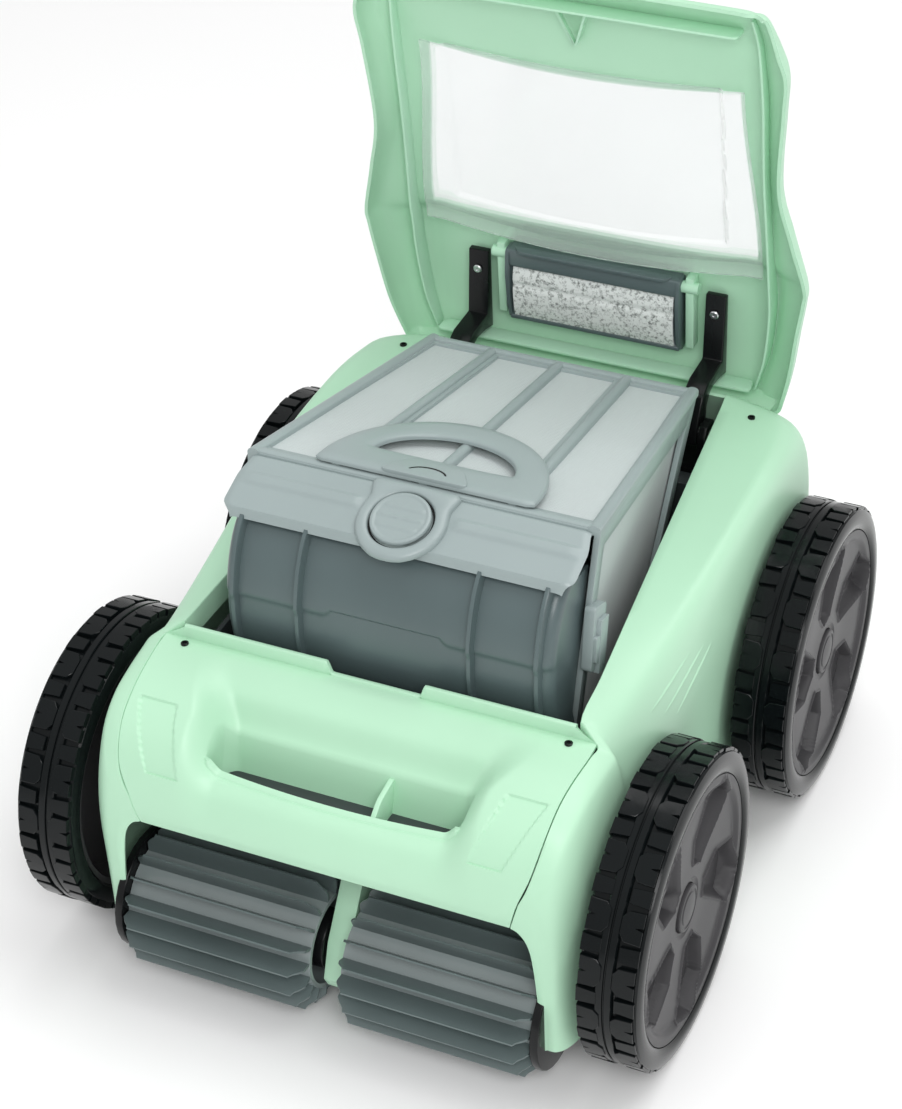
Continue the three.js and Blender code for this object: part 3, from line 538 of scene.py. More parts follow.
def roller(side):
    """A brush roller, drawn on the right and mirrored for the left."""
    mirror = Matrix.Diagonal((1 if side == "right" else -1, 1, 1, 1))
    low, high = node_box(f"brush_sleeve_{side}")
    _, y, z = (low + high) / 2
    tip = (high.z - low.z) / 2 - 0.2
    inner, outer = sorted((abs(low.x), abs(high.x)))
    blades = [lamella(2 * math.pi * (k + 0.5) / LAMELLAE, Vector((0, y, z)), inner, outer, tip)
              for k in range(LAMELLAE)]
    add_solid(f"brush_sleeve_{side}_shape", merged(*blades), BRUSH, f"brush_sleeve_{side}", mirror,
              sharp_deg=30)
    bore = SLEEVE_RADIUS - SLEEVE_WALL
    sleeve = ring_solid([(SLEEVE_RADIUS, inner), (SLEEVE_RADIUS, outer), (bore, outer), (bore, inner)], 96,
                        (y, z))
    add_solid(f"brush_base_{side}", sleeve, BRUSH_BASE, None, mirror,
              body=f"roller_{side}")
    refined(f"roller_core_{side}", BLACK, 0.8)


for roller_side in ("right", "left"):
    roller(roller_side)


# ---- body panels ----

FASCIA = [(-137, 218.5), (-150, 217.5), (-172, 215.5), (-190, 211), (-206, 202), (-217, 190), (-224, 176),
          (-227.5, 158), (-228, 146), (-226.5, 137)]
SCOOP = [(-137, 218.5), (-148, 216.5), (-163, 207), (-176, 187), (-203, 178), (-212, 176.5), (-220.5, 169),
         (-226, 157), (-228, 146), (-226.5, 137)]
POCKET_PATH = [(-176, 187), (-179, 176), (-182, 162), (-186, 150), (-194, 146), (-202, 150), (-206.5, 162),
               (-208.0, 171), (-207.0, 175.5), (-203, 178)]
# Half-width of the front panel at each point of FASCIA.
SEAM = [148.4, 148.4, 146.4, 144.9, 143.9, 142.0, 138.9, 132.4, 129.2, 126.9]
LIP_HALF = 134.6
LIP_TOP = 228.0
LIP_NOTCH = 219.6
LIP_FOOT = 207.0


def seam_x(u):
    return curve_at([(x, 0) for x in SEAM], u)[0]


def fascia_point(x, u, path=None):
    """A point of the front panel: x across, and u along the profile from the deck to the arch."""
    y0, z0 = curve_at(FASCIA, u)
    y1, z1 = curve_at(SCOOP, u)
    if path is not None:
        y2, z2 = curve_at(POCKET_PATH, path * (len(POCKET_PATH) - 1))
        inside = 1 - smooth(85.6, 87.6, abs(x))
        y1, z1 = lerp(y1, y2, inside), lerp(z1, z2, inside)
    # The scoop gets narrower towards the grip, and the grip's front edge bows out in its middle.
    reach = lerp(112, 96, smooth(1.0, 3.4, u))
    weight = 1 - smooth(reach - 20, reach + 6, abs(x))
    bow = 1 - min(abs(x) / 88, 1) ** 2
    if u > 3:
        y1 -= 3.5 * bow * (1 - smooth(4.0, 6.5, u)) * smooth(3.0, 4.0, u)
        z1 -= 2.6 * bow * (1 - smooth(4.0, 6.5, u)) * smooth(3.0, 4.0, u)
    y, z = lerp(y0, y1, weight), lerp(z0, z1, weight)
    return x, y + 0.7 * label_recess(abs(x), u), z - 1.3 * label_recess(abs(x), u)


def label_recess(x, u):
    """Depth share of the plain rounded panel moulded beside the scoop."""
    t = (u - 3.05) / (5.9 - 3.05)
    left, right = lerp(112.5, 98.5, t), lerp(139, 121, t)
    away = max(left - x, x - right, (3.05 - u) * 12, (u - 5.9) * 12)
    return smooth(0.3, -0.7, away)


def lip_rows(xs):
    """The panel's raised rear lip, with a low notch in its middle."""
    profile = [(-134.3, None), (-134.3, -1.2), (-134.8, -0.3), (-135.6, 0.0), (-136.8, 0.0),
               (-137.6, -0.35), (-138.0, -1.2)]
    tops = [lerp(LIP_NOTCH, LIP_TOP, smooth(30, 34, abs(x))) for x in xs]
    return [[(x, y, LIP_FOOT if drop is None else top + drop) for x, top in zip(xs, tops)]
            for y, drop in profile]


def front_panel():
    # Extra columns at the edges of the grip's pocket and of the plain rounded panels.
    edges = (84.5, 85.6, 86.2, 86.9, 87.6, 88.4, 98.5, 112, 121, 139)
    shares = sorted(set(spread(-1, 1, 241) + [s * edge / 149 for s in (-1, 1) for edge in edges]))
    rows = lip_rows([share * LIP_HALF for share in shares])
    places = [(u, None) for u in spread(0.12, 3.0, 26)]
    places += [(3 + path, path) for path in spread(0.04, 0.98, 30)]
    places += [(u, None) for u in spread(4.0, 9.0, 90)]
    for u, path in places:
        rows.append([fascia_point(share * seam_x(u), u, path) for share in shares])
    add_shell("front_panel_shape", rows, 2.2, MINT, "front_panel", sharp_deg=44)
    rib = rounded([(-176, 184), (-180, 160), (-194, 145), (-207, 152), (-209.5, 172), (-196, 181)], 3, 3)
    add_solid("grip_rib", prism(rib, 26.2, 29.8, "x"), MINT, "front_panel", bevel=(0.8, 2), body="chassis")
    # Painted shade: a dark plate across the pocket's floor stands in for the shadow deep inside the grip.
    plate = rounded([(-182, 151), (-204, 151), (-206.3, 162), (-181, 160)], 2)
    add_solid("grip_painted_shade", prism(plate, -84.5, 84.5, "x"), CHASSIS, "front_panel",
              body="chassis")


# Stations of the right-hand panel: y, then (x, z) of its inner edge, shoulder, side and foot.
SIDE_STATIONS = [
    (-227.5, 133, 158, 142, 152, 150, 122, 151, 42),
    (-226, 138, 170, 149, 163, 157, 128, 156, 41),
    (-219, 142, 186, 154, 178, 163, 138, 161, 40),
    (-206, 144.5, 202, 158, 193, 167.5, 148, 165, 40),
    (-190, 145.5, 211, 160, 202, 169, 154, 166, 42),
    (-172, 147, 215.5, 161, 206, 170, 158, 166, 48),
    (-150, 149, 217.5, 162, 208, 170.3, 161, 166, 53),
    (-138.6, 149, 218.3, 162, 209, 170.3, 162, 166, 54),
]
OPENING = {"front": -134.0, "rear": 206.0, "half": (136.3, 107.5), "rim": (229.0, 251.0)}
# The panel beside the opening: y, shoulder (x, z) and side z.
DECK_CORNERS = [(-134, 156, 211, 164), (-94, 157.5, 218, 172), (-60, 159.5, 225, 180),
                (0, 163.5, 237, 190), (65, 167, 246.5, 198), (140, 168, 248.5, 200),
                (190, 166.8, 241, 190), (207, 164.6, 232, 181)]
TAIL_STATIONS = [
    (213, 109.5, 240, 161.5, 225, 168.5, 176, 165, 55),
    (221, 113, 227, 158, 213, 165.5, 168, 162.5, 57),
    (229, 116.5, 212, 153, 200, 161, 162, 158, 59),
    (235, 119, 198, 148.5, 186, 156, 154, 153.5, 60),
    (238, 121, 189, 144, 177, 150, 148, 148.5, 61),
]


def side_stations():
    """All stations, with those along the opening found from its straight tapering edge."""
    along = []
    for y, shoulder_x, shoulder_z, side_z in DECK_CORNERS:
        t = (y - OPENING["front"]) / (OPENING["rear"] - OPENING["front"])
        along.append((y, lerp(*OPENING["half"], t), lerp(*OPENING["rim"], t), shoulder_x, shoulder_z,
                      170.5, side_z, 166, 54))
    return SIDE_STATIONS + along + TAIL_STATIONS


def section_curve(station, count=30):
    """The outer section of a station: a quadratic B-spline from the deck's edge to the foot."""
    _, x0, z0, x1, z1, x2, z2, x3, z3 = station
    controls = [Vector(point) for point in (
        (x0, z0), (lerp(x0, x1, 0.55), lerp(z0, z1, 0.2)), (x1 + 1.5, z1 + 1.5), (x2 + 0.4, z2),
        (x3 + 0.5, lerp(z2, z3, 0.5)), (x3, z3))]
    knots = [controls[0]] + [(a + b) / 2 for a, b in zip(controls[1:-2], controls[2:-1])] + [controls[-1]]
    spans = list(zip(knots[:-1], controls[1:-1], knots[1:]))
    out = []
    for k in range(count):
        v = k / (count - 1) * len(spans)
        span = min(int(v), len(spans) - 1)
        a, b, c = spans[span]
        t = v - span
        out.append(tuple(a.lerp(b, t).lerp(b.lerp(c, t), t)))
    return out


def arch_edge(count=30):
    """The edge of the roller arch, from the seam down the inside of the front corner."""
    points = [(127.5, 137.5), (133, 135), (138, 128), (141, 117), (143.5, 95), (145.5, 65), (147, 41)]
    return [curve_at(points, t) for t in spread(0, len(points) - 1, count)]


def side_panel(side):
    sign = 1 if side == "right" else -1
    stations = side_stations()
    rows = []
    first = section_curve(stations[0])
    for t in spread(0, 0.86, 7):
        rows.append([(lerp(a[0], b[0], t), -227.2 - 0.7 * math.sin(math.pi * t), lerp(a[1], b[1], t))
                     for a, b in zip(arch_edge(), first)])
    last_front = len(SIDE_STATIONS) - 1
    for u in spread(0, len(stations) - 1, (len(stations) - 1) * 5 + 1):
        past = u - last_front
        if 0.02 < past < 0.98:
            continue
        station = stations[round(u)] if -0.1 < past < 1.1 else curve_at(stations, u)
        rows.append([(x, station[0], z) for x, z in section_curve(station)])
    full = []
    for row in rows:
        x0, y0, z0 = row[0]
        depth = 18 if OPENING["front"] - 1 < y0 < OPENING["rear"] + 1 else 2.4
        down = smooth(150, 208, z0)
        edge = [(x0 - out, y0 + fold * (1 - down), z0 - fold * down)
                for out, fold in ((0.1, depth), (0.1, 1.0), (-0.1, 0.3), (-0.5, 0.0))]
        full.append([(sign * x, y, z) for x, y, z in edge + row[1:]])
    add_shell(f"side_panel_{side}_shape", full, 2.4, MINT, f"side_panel_{side}", sharp_deg=40)
    for k, ends in enumerate(FLANK_RIBS):
        flank_rib(side, sign, k + 1, *ends)


FLANK_RIBS = (((-84, 206), (-24, 212)), ((-70, 195), (-4, 204)), ((-54, 183), (8, 196)))


def flank_rib(side, sign, number, start, end):
    """One of the three faint ribs on each flank, from one place (y, z) on the panel to another."""
    panel = bpy.data.objects[f"side_panel_{side}_shape"]
    rows = []
    for t in spread(0, 1, 15):
        y, z = lerp(start[0], end[0], t), lerp(start[1], end[1], t)
        _, place, _, _ = panel.ray_cast(Vector((sign * 300, y, z)) * MM, Vector((-sign, 0, 0)))
        x = abs(place.x) / MM
        swell = 0.8 * math.sin(math.pi * t) ** 0.5
        rows.append([(sign * (x + out), y, z + up)
                     for out, up in ((-0.6, 1.5), (swell, 0.3), (swell, -0.3), (-0.6, -1.5))])
    add_solid(f"flank_rib_{side}_{number}", tube(rows), MINT, f"side_panel_{side}", sharp_deg=50,
              body="chassis")


# The rear panel from its top edge down: y, z and half-width.
REAR_ROWS = [(207, 250, 107.5), (213, 240.2, 109.5), (221, 227.4, 113), (229, 212.4, 116.5),
             (235, 198.4, 119), (238.2, 186, 124), (239.4, 176, 140), (240, 160, 147),
             (240, 120, 148.5), (240, 80, 148.5), (238.5, 61, 148.5)]


def rear_panel():
    grille_low, grille_high = node_box("outlet_grille")
    shares = sorted(set(spread(-1, 1, 61) + [s * (grille_high.x + 0.6) / 148.5 for s in (-1, 1)]))
    rows = []
    for u in spread(0, len(REAR_ROWS) - 1, 61):
        y, z, half = curve_at(REAR_ROWS, u)
        rows.append([(share * half, y - 2.6 * max(0, abs(share) - 0.93) / 0.07 * smooth(4.5, 6.5, u), z)
                     for share in shares])

    def in_grille(r, c):
        x = (rows[r][c][0] + rows[r][c + 1][0]) / 2
        z = (rows[r][c][2] + rows[r + 1][c][2]) / 2
        return grille_low.x - 0.7 < x < grille_high.x + 0.7 and grille_low.z - 1 < z < grille_high.z + 1

    add_shell("rear_panel_shape", rows, 2.2, MINT, "rear_panel", skip=in_grille, sharp_deg=40)
    gland = node_middle("cable_gland")
    collar = ring_solid([(11.5, 0), (13.5, 0), (13.5, 2.2), (12.6, 3.0), (11.5, 3.0)], 48)
    add_solid("gland_collar", collar, MINT, "rear_panel", facing((gland.x, 239.6, gland.z), 90, "Z"),
              body="chassis")


SCREW_PROUD = 0.2


def surface_height(panel, x, y):
    """Height of a panel's outer face above a place on the ground."""
    hit, place, _, _ = bpy.data.objects[panel].ray_cast(Vector((x, y, 400)) * MM, Vector((0, 0, -1)))
    return place.z / MM if hit else 0.0


def deck_screws():
    """Small dark screw sockets in the deck's four corners."""
    head = ring_solid([(0.01, -4.0), (2.6, -4.0), (2.6, 0.7), (2.2, 0.9), (1.5, 0.9), (1.3, 0.0),
                       (0.01, 0.0)], 32)
    for corner in ("front_right", "front_left", "rear_right", "rear_left"):
        middle = node_middle(f"deck_screw_{corner}")
        panel = "front_panel" if corner.startswith("front") else "side_panel_" + corner[5:]
        top = surface_height(panel + "_shape", middle.x, middle.y) + SCREW_PROUD
        add_solid(f"deck_screw_{corner}_shape", head, BLACK, f"deck_screw_{corner}",
                  facing((middle.x, middle.y, top), -90, "Y"))


front_panel()
side_panel("right")
side_panel("left")
rear_panel()
deck_screws()


# ---- lid, drawn closed and turned open ----

# Stations of the closed lid: y, rim (half-width, z), shoulder z and crown (half-width, z).
LID_STATIONS = [
    (-141, 138, 225.5, 228.0, 118, 231), (-136, 141, 229, 237, 122, 243), (-112, 147, 233, 249, 124, 257),
    (-94, 151, 236, 252, 125, 261), (-66, 149, 240, 255, 126, 267), (-10, 146, 244, 260, 126, 273),
    (30, 154, 248, 264, 127, 277), (66, 162.6, 252, 267, 128, 281), (80, 162, 253, 270, 128, 289),
    (105, 158, 254, 273, 128, 292), (144, 152, 258, 275, 124, 292), (176.5, 144, 264, 276, 116, 287),
]
WINDOW_LOW_Y, WINDOW_HIGH_Y = -66.0, 67.0
FLOAT_PIN_X = 71
LID_SPAN = len(LID_STATIONS) - 1


def lid_point(u, v):
    """A point of the lid's outer face: u along the stations, v from the left rim to the right rim."""
    y, half, rim, shoulder, crown_half, crown = curve_at(LID_STATIONS, u)
    side = [(half, rim), (half - 1.0, lerp(rim, shoulder, 0.6)), (half - 6, shoulder + 2.5),
            (lerp(half, crown_half, 0.6), lerp(shoulder, crown, 0.55)), (crown_half, crown - 0.6),
            (crown_half * 0.75, crown), (0, crown + 0.6)]
    x, z = curve_at(side, (1 - abs(v)) * (len(side) - 1))
    return (math.copysign(x, v) if v else 0.0), y, min(z, 294.6)


def lid_station(y):
    """The station between the listed ones at which a straight line reaches y."""
    k = next(k for k in range(LID_SPAN) if LID_STATIONS[k][0] <= y <= LID_STATIONS[k + 1][0])
    t = (y - LID_STATIONS[k][0]) / (LID_STATIONS[k + 1][0] - LID_STATIONS[k][0])
    return curve_at(LID_STATIONS, k + t)


def window_half(y):
    return lerp(111, 121, smooth(-66, 66, y))


def window_share(u):
    """Place across the lid, from 0 to 1, where the window's side edge lies at a station."""
    low, high = 0.0, 1.0
    target = window_half(curve_at(LID_STATIONS, u)[0])
    for _ in range(24):
        middle = (low + high) / 2
        if lid_point(u, middle)[0] < target:
            low = middle
        else:
            high = middle
    return low


def window_bow(x, y):
    """How far the cross lines bend towards the hinge, most at the window's rear edge."""
    rear_edge = 9 * smooth(-60, 60, y) * smooth(125, 72, y)
    front_edge = 6 * smooth(-120, -70, y) * smooth(0, -50, y)
    return max(1 - (x / 112) ** 2, 0.0) * (rear_edge + front_edge)


WINDOW_LOW_U = 4.0
WINDOW_HIGH_U = 7.0
LID_SIDE_COLUMNS = 18
LID_MIDDLE_COLUMNS = 60


def lid_shell():
    rows = []
    steps = 12
    for k in range(steps * LID_SPAN + 1):
        u = k / steps
        edge = window_share(u)
        shares = spread(-1, -edge, LID_SIDE_COLUMNS + 1)
        shares += spread(-edge, edge, LID_MIDDLE_COLUMNS + 1)[1:-1]
        shares += spread(edge, 1, LID_SIDE_COLUMNS + 1)
        row = []
        for v in shares:
            x, y, _ = lid_point(u, v)
            shifted = u + window_bow(x, y) / 30
            row.append((x, *lid_point(min(shifted, LID_SPAN), v)[1:]))
        rows.append(row)
    for y, top, narrower in ((178.5, 281, 0.99), (181, 274.5, 0.98), (186, 270.5, 0.97)):
        rows.append([(x * narrower, y, min(z, top)) for x, _, z in rows[-1]])

    def in_window(r, c):
        inside = LID_SIDE_COLUMNS <= c < LID_SIDE_COLUMNS + LID_MIDDLE_COLUMNS
        return inside and WINDOW_LOW_U * steps <= r < WINDOW_HIGH_U * steps

    add_shell("lid_shell_shape", rows, 2.4, MINT, "lid_shell", LID_POSE, in_window, 40)


# The V-shaped gusset's two ends: y, middle x and (low, high) z.
GUSSET_ENDS = ((-117.5, 12.0, (246.5, 251.5)), (-87.0, 1.0, (253.6, 258.5)))
BOX_FACES = [(0, 1, 3, 2), (4, 6, 7, 5), (0, 4, 5, 1), (2, 3, 7, 6), (0, 2, 6, 4), (1, 5, 7, 3)]


def lid_ribs():
    """The stiffening walls and gussets moulded inside the lid."""
    parts = []
    for sign in (-1, 1):
        wall = []
        for y in spread(-132, 170, 40):
            _, _, rim, shoulder, crown_half, crown = lid_station(y)
            low, high = lerp(rim, shoulder, 0.75), lerp(shoulder, crown, 0.6)
            near, far = sign * (crown_half + 3.5), sign * (crown_half + 5.3)
            wall.append([(near, y, low), (far, y, low), (far, y, high), (near, y, high)])
        parts.append(tube(wall))
    cross = rounded([(-117, 237), (117, 237), (118, 251), (-118, 251)], 4, 3)
    parts.append(prism(cross, -119.4, -117.4, "y"))
    for sign in (-1, 1):
        gusset = [(sign * x, y, z) for y, middle, heights in GUSSET_ENDS
                  for z in heights for x in (middle - 1, middle + 1)]
        parts.append((gusset, BOX_FACES))
    rear = rounded([(-120, 268), (120, 268), (118, 282), (-118, 282)], 4, 3)
    parts.append(prism(rear, 168.0, 170.2, "y"))
    parts += plate_pair([(93, 279), (150, 279), (150, 289), (93, 289)], FLOAT_PIN_X, 3)
    add_solid("lid_ribs", merged(*parts), MINT_PAINTED_LIGHT, "lid_shell", LID_POSE, (0.6, 2), body="lid")


def lid_window():
    """The clear pane under the opening, folded down along its rear edge and its two sides."""
    rows = []
    for y in spread(WINDOW_LOW_Y - 3, WINDOW_HIGH_Y + 12, 73):
        crown = lid_station(y)[5]
        half = window_half(y) + 4
        row = []
        for x in spread(-half, half, 111):
            fold = 3.6 * max(smooth(97, 100.5, abs(x)), smooth(52, 55, y))
            row.append((x, y + window_bow(x, y), min(crown, 282.5) - 3.0 - fold))
        rows.append(row)
    add_shell("lid_window_shape", rows, 1.6, WINDOW, "lid_window", LID_POSE)


ARM_SCREW = (118.0, 278.9)


def lid_arms():
    head = ring_solid([(0.01, 0), (3.2, 0), (3.2, 0.9), (2.5, 1.5), (1.3, 1.5), (1.2, 0.9), (0.01, 0.9)],
                      32)
    for side in ("right", "left"):
        arm = f"lid_arm_{side}"
        refined(arm, BLACK, 1.1)
        place = LID_POSE @ facing((node_middle(arm).x, *ARM_SCREW), 90, "Y")
        add_solid(f"arm_screw_{side}", head, STEEL, arm, place, body="lid")


def float_unit():
    """The grey housing in the lid and the speckled foam block that it holds."""
    half, front, rear, low, high = 64.0, 94.0, 153.0, 276.0, 287.3
    tray = [(front, low - 1.5), (front + 13, low - 2.5), (front + 13.5, low + 1), (rear - 4, low + 1.5),
            (rear - 3.4, low), (rear, low), (rear, high), (front, high)]
    cheek = rounded([(front, low - 2), (front + 20, low - 4.5), (rear - 14, low - 2.5), (rear, low + 1),
                     (rear, high), (front, high)], 4, 4)
    back = rounded([(-60, low + 2), (60, low + 2), (54, low - 5.5), (-54, low - 5.5)], 3, 3)
    parts = [prism(rounded(tray, 1.6, 3), -half, half, "x")]
    parts += plate_pair(cheek, half, 1.4)
    parts.append(prism(back, 92.2, 94.6, "y"))
    add_solid("float_holder_shape", merged(*parts), DOOR_GREY, "float_holder", LID_POSE, (0.7, 2))
    pin = [(y + 101, z + 281) for y, z in circle(4.2, 24)]
    add_solid("float_pin_bosses", merged(*plate_pair(pin, FLOAT_PIN_X, 6.5)), MINT_PAINTED_LIGHT, "float_holder",
              LID_POSE, body="lid")
    float_foam(low)


FOAM_HALF, FOAM_FRONT, FOAM_REAR = 60.5, 108.5, 149.0
FOAM_CROWN = 3.6
FOAM_GROOVE = 0.9


def float_foam(base):
    """The crowned foam block, with one groove along it and two across. It bulges down from its base."""
    rows = []
    for t in spread(0, 1, 34):
        crown = FOAM_CROWN * math.sin(math.pi * min(max(t, 0.02), 0.98)) ** 0.45
        along = smooth(1.0, 0.2, abs(t - 0.34) * 12)
        row = []
        for x in spread(-FOAM_HALF, FOAM_HALF, 90):
            across = smooth(0.8, 0.2, abs(abs(x) - 27)) * smooth(0.12, 0.3, t)
            groove = FOAM_GROOVE * (along + across)
            row.append((x, lerp(FOAM_FRONT, FOAM_REAR, t), base + 1.2 - crown + groove))
        rows.append(row)
    ends = [[(x, y, base + 3.4) for x, y, _ in row] for row in (rows[0], rows[-1])]
    foam = add_shell("float_foam_shape", [ends[0], *rows, ends[1]], 1.2, FOAM, "float_foam", LID_POSE,
                     sharp_deg=60)


lid_shell()
lid_ribs()
lid_window()
lid_arms()
float_unit()


# ---- filter basket, drawn on its seat and tilted up ----

ROOF = {"front": (-82.0, 246.0, 121.0), "rear": (151.0, 272.0, 100.0)}
ROOF_SLOPE = math.atan2(ROOF["rear"][1] - ROOF["front"][1], ROOF["rear"][0] - ROOF["front"][0])


def roof_at(share_x, t, lift=0.0):
    """A point over the roof: share_x across from -1 to 1, t from the front edge to the rear."""
    y, z, half = (lerp(a, b, t) for a, b in zip(ROOF["front"], ROOF["rear"]))
    return Vector((share_x * half, y - lift * math.sin(ROOF_SLOPE), z + lift * math.cos(ROOF_SLOPE)))


def roof_bar(share0, t0, share1, t1, width, height):
    """A half-round bar that lies on the roof between two of its points."""
    a, b = roof_at(share0, t0), roof_at(share1, t1)
    along = (b - a).normalized()
    up = Vector((0, -math.sin(ROOF_SLOPE), math.cos(ROOF_SLOPE)))
    across = along.cross(up).normalized()
    section = [(-width / 2, -3.2), (-width / 2, 0.2)]
    section += [(width / 2 * math.cos(w), 0.2 + height * math.sin(w))
                for w in spread(math.pi * 0.9, math.pi * 0.1, 9)]
    section += [(width / 2, 0.2), (width / 2, -3.2)]
    return tube([[tuple(end + across * s + up * h) for s, h in section] for end in (a, b)])


def filter_frame():
    refined("filter_frame", LIGHT_GREY, 1.3)
    bars = [roof_bar(s, 0.02, s, 0.985, 7.5, 2.6) for s in (-0.5, 0.0, 0.5)]
    bars += [roof_bar(s, 0.0, s, 1.0, 8.0, 2.2) for s in (-0.965, 0.965)]
    bars += [roof_bar(-0.97, 0.985, 0.97, 0.985, 7.0, 2.0), roof_bar(-0.99, 0.02, 0.99, 0.02, 8.0, 1.6)]
    add_solid("roof_bars", merged(*bars), LIGHT_GREY, "filter_frame", FILTER_POSE, body="filter")
    plate = rounded([(-82, 196), (-60, 194), (-58, 150), (-76, 150)], 4, 4)
    tooth = rounded([(-79, 176), (-64, 174), (-63, 156), (-74, 156)], 2.5, 3)
    catches = plate_pair(plate, 119.5, 3.4) + plate_pair(tooth, 123.5, 1.6)
    add_solid("basket_catches", merged(*catches), LIGHT_GREY, "filter_frame", FILTER_POSE, (0.8, 2),
              body="filter")


def mesh_panels():
    """The woven filter panels, pulled in a little between the frame's bars."""
    rows = []
    for t in spread(0.03, 0.975, 49):
        row = []
        for share in spread(-0.94, 0.94, 97):
            bay = (share * 2 + 2) % 1
            dip = 0.7 * math.sin(math.pi * bay) * math.sin(math.pi * t)
            row.append(tuple(roof_at(share, t, -1.9 - dip)))
        rows.append(row)
    top = add_shell("filter_mesh_top_shape", rows, 0.5, FABRIC, "filter_mesh_top", FILTER_POSE)
    for side, sign in (("right", 1), ("left", -1)):
        low_front, low_rear, high_rear, high_front = (
            Vector(corner) for corner in
            ((-58, 84, 107.0), (90, 86, 91.2), (144, 263, 94.6), (-75, 237, 114.4)))
        rows = []
        for v in spread(0, 1, 33):
            row = []
            for u in spread(0, 1, 41):
                y, z, x = low_front.lerp(low_rear, u).lerp(high_front.lerp(high_rear, u), v)
                dip = 0.8 * math.sin(math.pi * u) * math.sin(math.pi * v)
                row.append((sign * (x + 0.6 - dip), y, z))
            rows.append(row)
        panel = add_shell(f"filter_mesh_{side}_shape", rows, 0.5, FABRIC, f"filter_mesh_{side}",
                          FILTER_POSE)


DOOR_FACE = [(-104, 219), (-112, 208), (-116.5, 196), (-118.5, 182), (-118, 164), (-112, 140), (-98, 114),
             (-82, 92), (-66, 78)]
DOOR_HALF = 113.0
DOOR_RIBS = (-104.0, -59.0, 59.0, 104.0)
DOOR_RIB_TOP, DOOR_RIB_FOOT = 8.5, 2.5
DOOR_EDGE_RADIUS = 7.0


def door_step(x):
    """Profile place of the moulded step, which jogs up in the middle of the door."""
    return lerp(4.0, 3.78, smooth(43, 36, abs(x)))


def filter_door():
    """The bulging door: ribs that get lower down its face, a moulded step and rounded side edges."""
    xs = sorted(set(spread(-DOOR_HALF, DOOR_HALF, 151)
                    + [rib + d for rib in DOOR_RIBS for d in (-2.3, -1.8, -1.2, 1.2, 1.8, 2.3)]
                    + [s * (DOOR_HALF - d) for s in (-1, 1) for d in (0.2, 0.7, 1.5, 2.6, 4.0, 6.0)]))
    span = len(DOOR_FACE) - 1
    rows = []
    for u in spread(0, span, 97):
        y, z = curve_at(DOOR_FACE, u)
        y_next, z_next = curve_at(DOOR_FACE, min(u + 0.02, span))
        y_last, z_last = curve_at(DOOR_FACE, max(u - 0.02, 0))
        length = math.hypot(y_next - y_last, z_next - z_last)
        out_y, out_z = (z_next - z_last) / length, -(y_next - y_last) / length
        rib_height = lerp(DOOR_RIB_TOP, DOOR_RIB_FOOT, u / span)
        row = [(-DOOR_HALF + 0.6, max(y + 30, -72), z)]
        for x in xs:
            rise = sum(rib_height * smooth(2.2, 1.4, abs(x - rib)) for rib in DOOR_RIBS)
            rise += 1.6 * smooth(0.04, -0.04, u - door_step(x))
            edge = max(0.0, abs(x) - (DOOR_HALF - DOOR_EDGE_RADIUS)) / DOOR_EDGE_RADIUS
            rise -= DOOR_EDGE_RADIUS * (1 - math.sqrt(max(1 - edge * edge, 0)))
            rise *= smooth(0, 0.5, u) if rise > 0 else 1
            row.append((x, y + out_y * rise, z + out_z * rise))
        row.append((DOOR_HALF - 0.6, max(y + 30, -72), z))
        rows.append(row)
    add_shell("filter_door_shape", rows, 2.0, DOOR_GREY, "filter_door", FILTER_POSE, sharp_deg=36)


FLAP_HALF = 119.5
ROOF_FRONT_Y, ROOF_FRONT_Z, _ = ROOF["front"]
HANDLE_POSE = FILTER_POSE @ facing((0, ROOF_FRONT_Y + 3, ROOF_FRONT_Z + 1.8), math.degrees(ROOF_SLOPE),
                                   "X")
FLAP_POSE = FILTER_POSE @ facing((0, ROOF_FRONT_Y - 0.5, ROOF_FRONT_Z + 0.5), 35.8, "X")


def filter_flap():
    """The sloping flap: a long ridge, a rounded lower edge and softly cut lower corners."""
    rows = []
    down = [0.7, 0.9, 1.6, 3] + spread(5, 12, 5) + spread(13, 26, 18) + spread(28, 43, 7)
    for s in down + [44.6, 45.6, 46.6, 47.2]:
        half = lerp(FLAP_HALF - 3.5, FLAP_HALF, smooth(0, 20, s)) - 6.5 * smooth(36, 47.2, s) ** 2
        ridge = 1.5 * smooth(13.5, 17.5, s) * smooth(26, 21.5, s)
        fold = -2.4 * smooth(2.2, 0.7, s) - 5.6 * smooth(42.0, 47.4, s) ** 1.6
        row = []
        for share in spread(-1, 1, 121):
            x = share * half
            height = fold + 0.5 * (1 - share * share) - 1.4 * smooth(0.972, 1, abs(share))
            height += ridge * smooth(1.0, 0.9, abs(share)) * smooth(30, 36, abs(x))
            row.append((x, -s, height))
        rows.append(row)
    add_shell("filter_flap_shape", rows, 2.4, LIGHT_GREY, "filter_flap", FLAP_POSE, sharp_deg=40)


CLIP_RADIUS = 29.5
BUTTON_DISTANCE = 27.5
BUTTON_RADIUS = 19.6


def clip_outline():
    """The clip's outline, with a waist beside the roof's edge and a tapering round tip."""
    right = [(30.5, 0.5), (29.6, -6), (27.2, -10), (27.6, -15)]
    right += [(CLIP_RADIUS * math.cos(a), -BUTTON_DISTANCE + CLIP_RADIUS * math.sin(a))
              for a in spread(0.3, -0.75, 10)]
    right += [(17.5, -51.5), (11, -55.4), (4, -57.0)]
    left = [(-x, y) for x, y in reversed(right)]
    return right + left


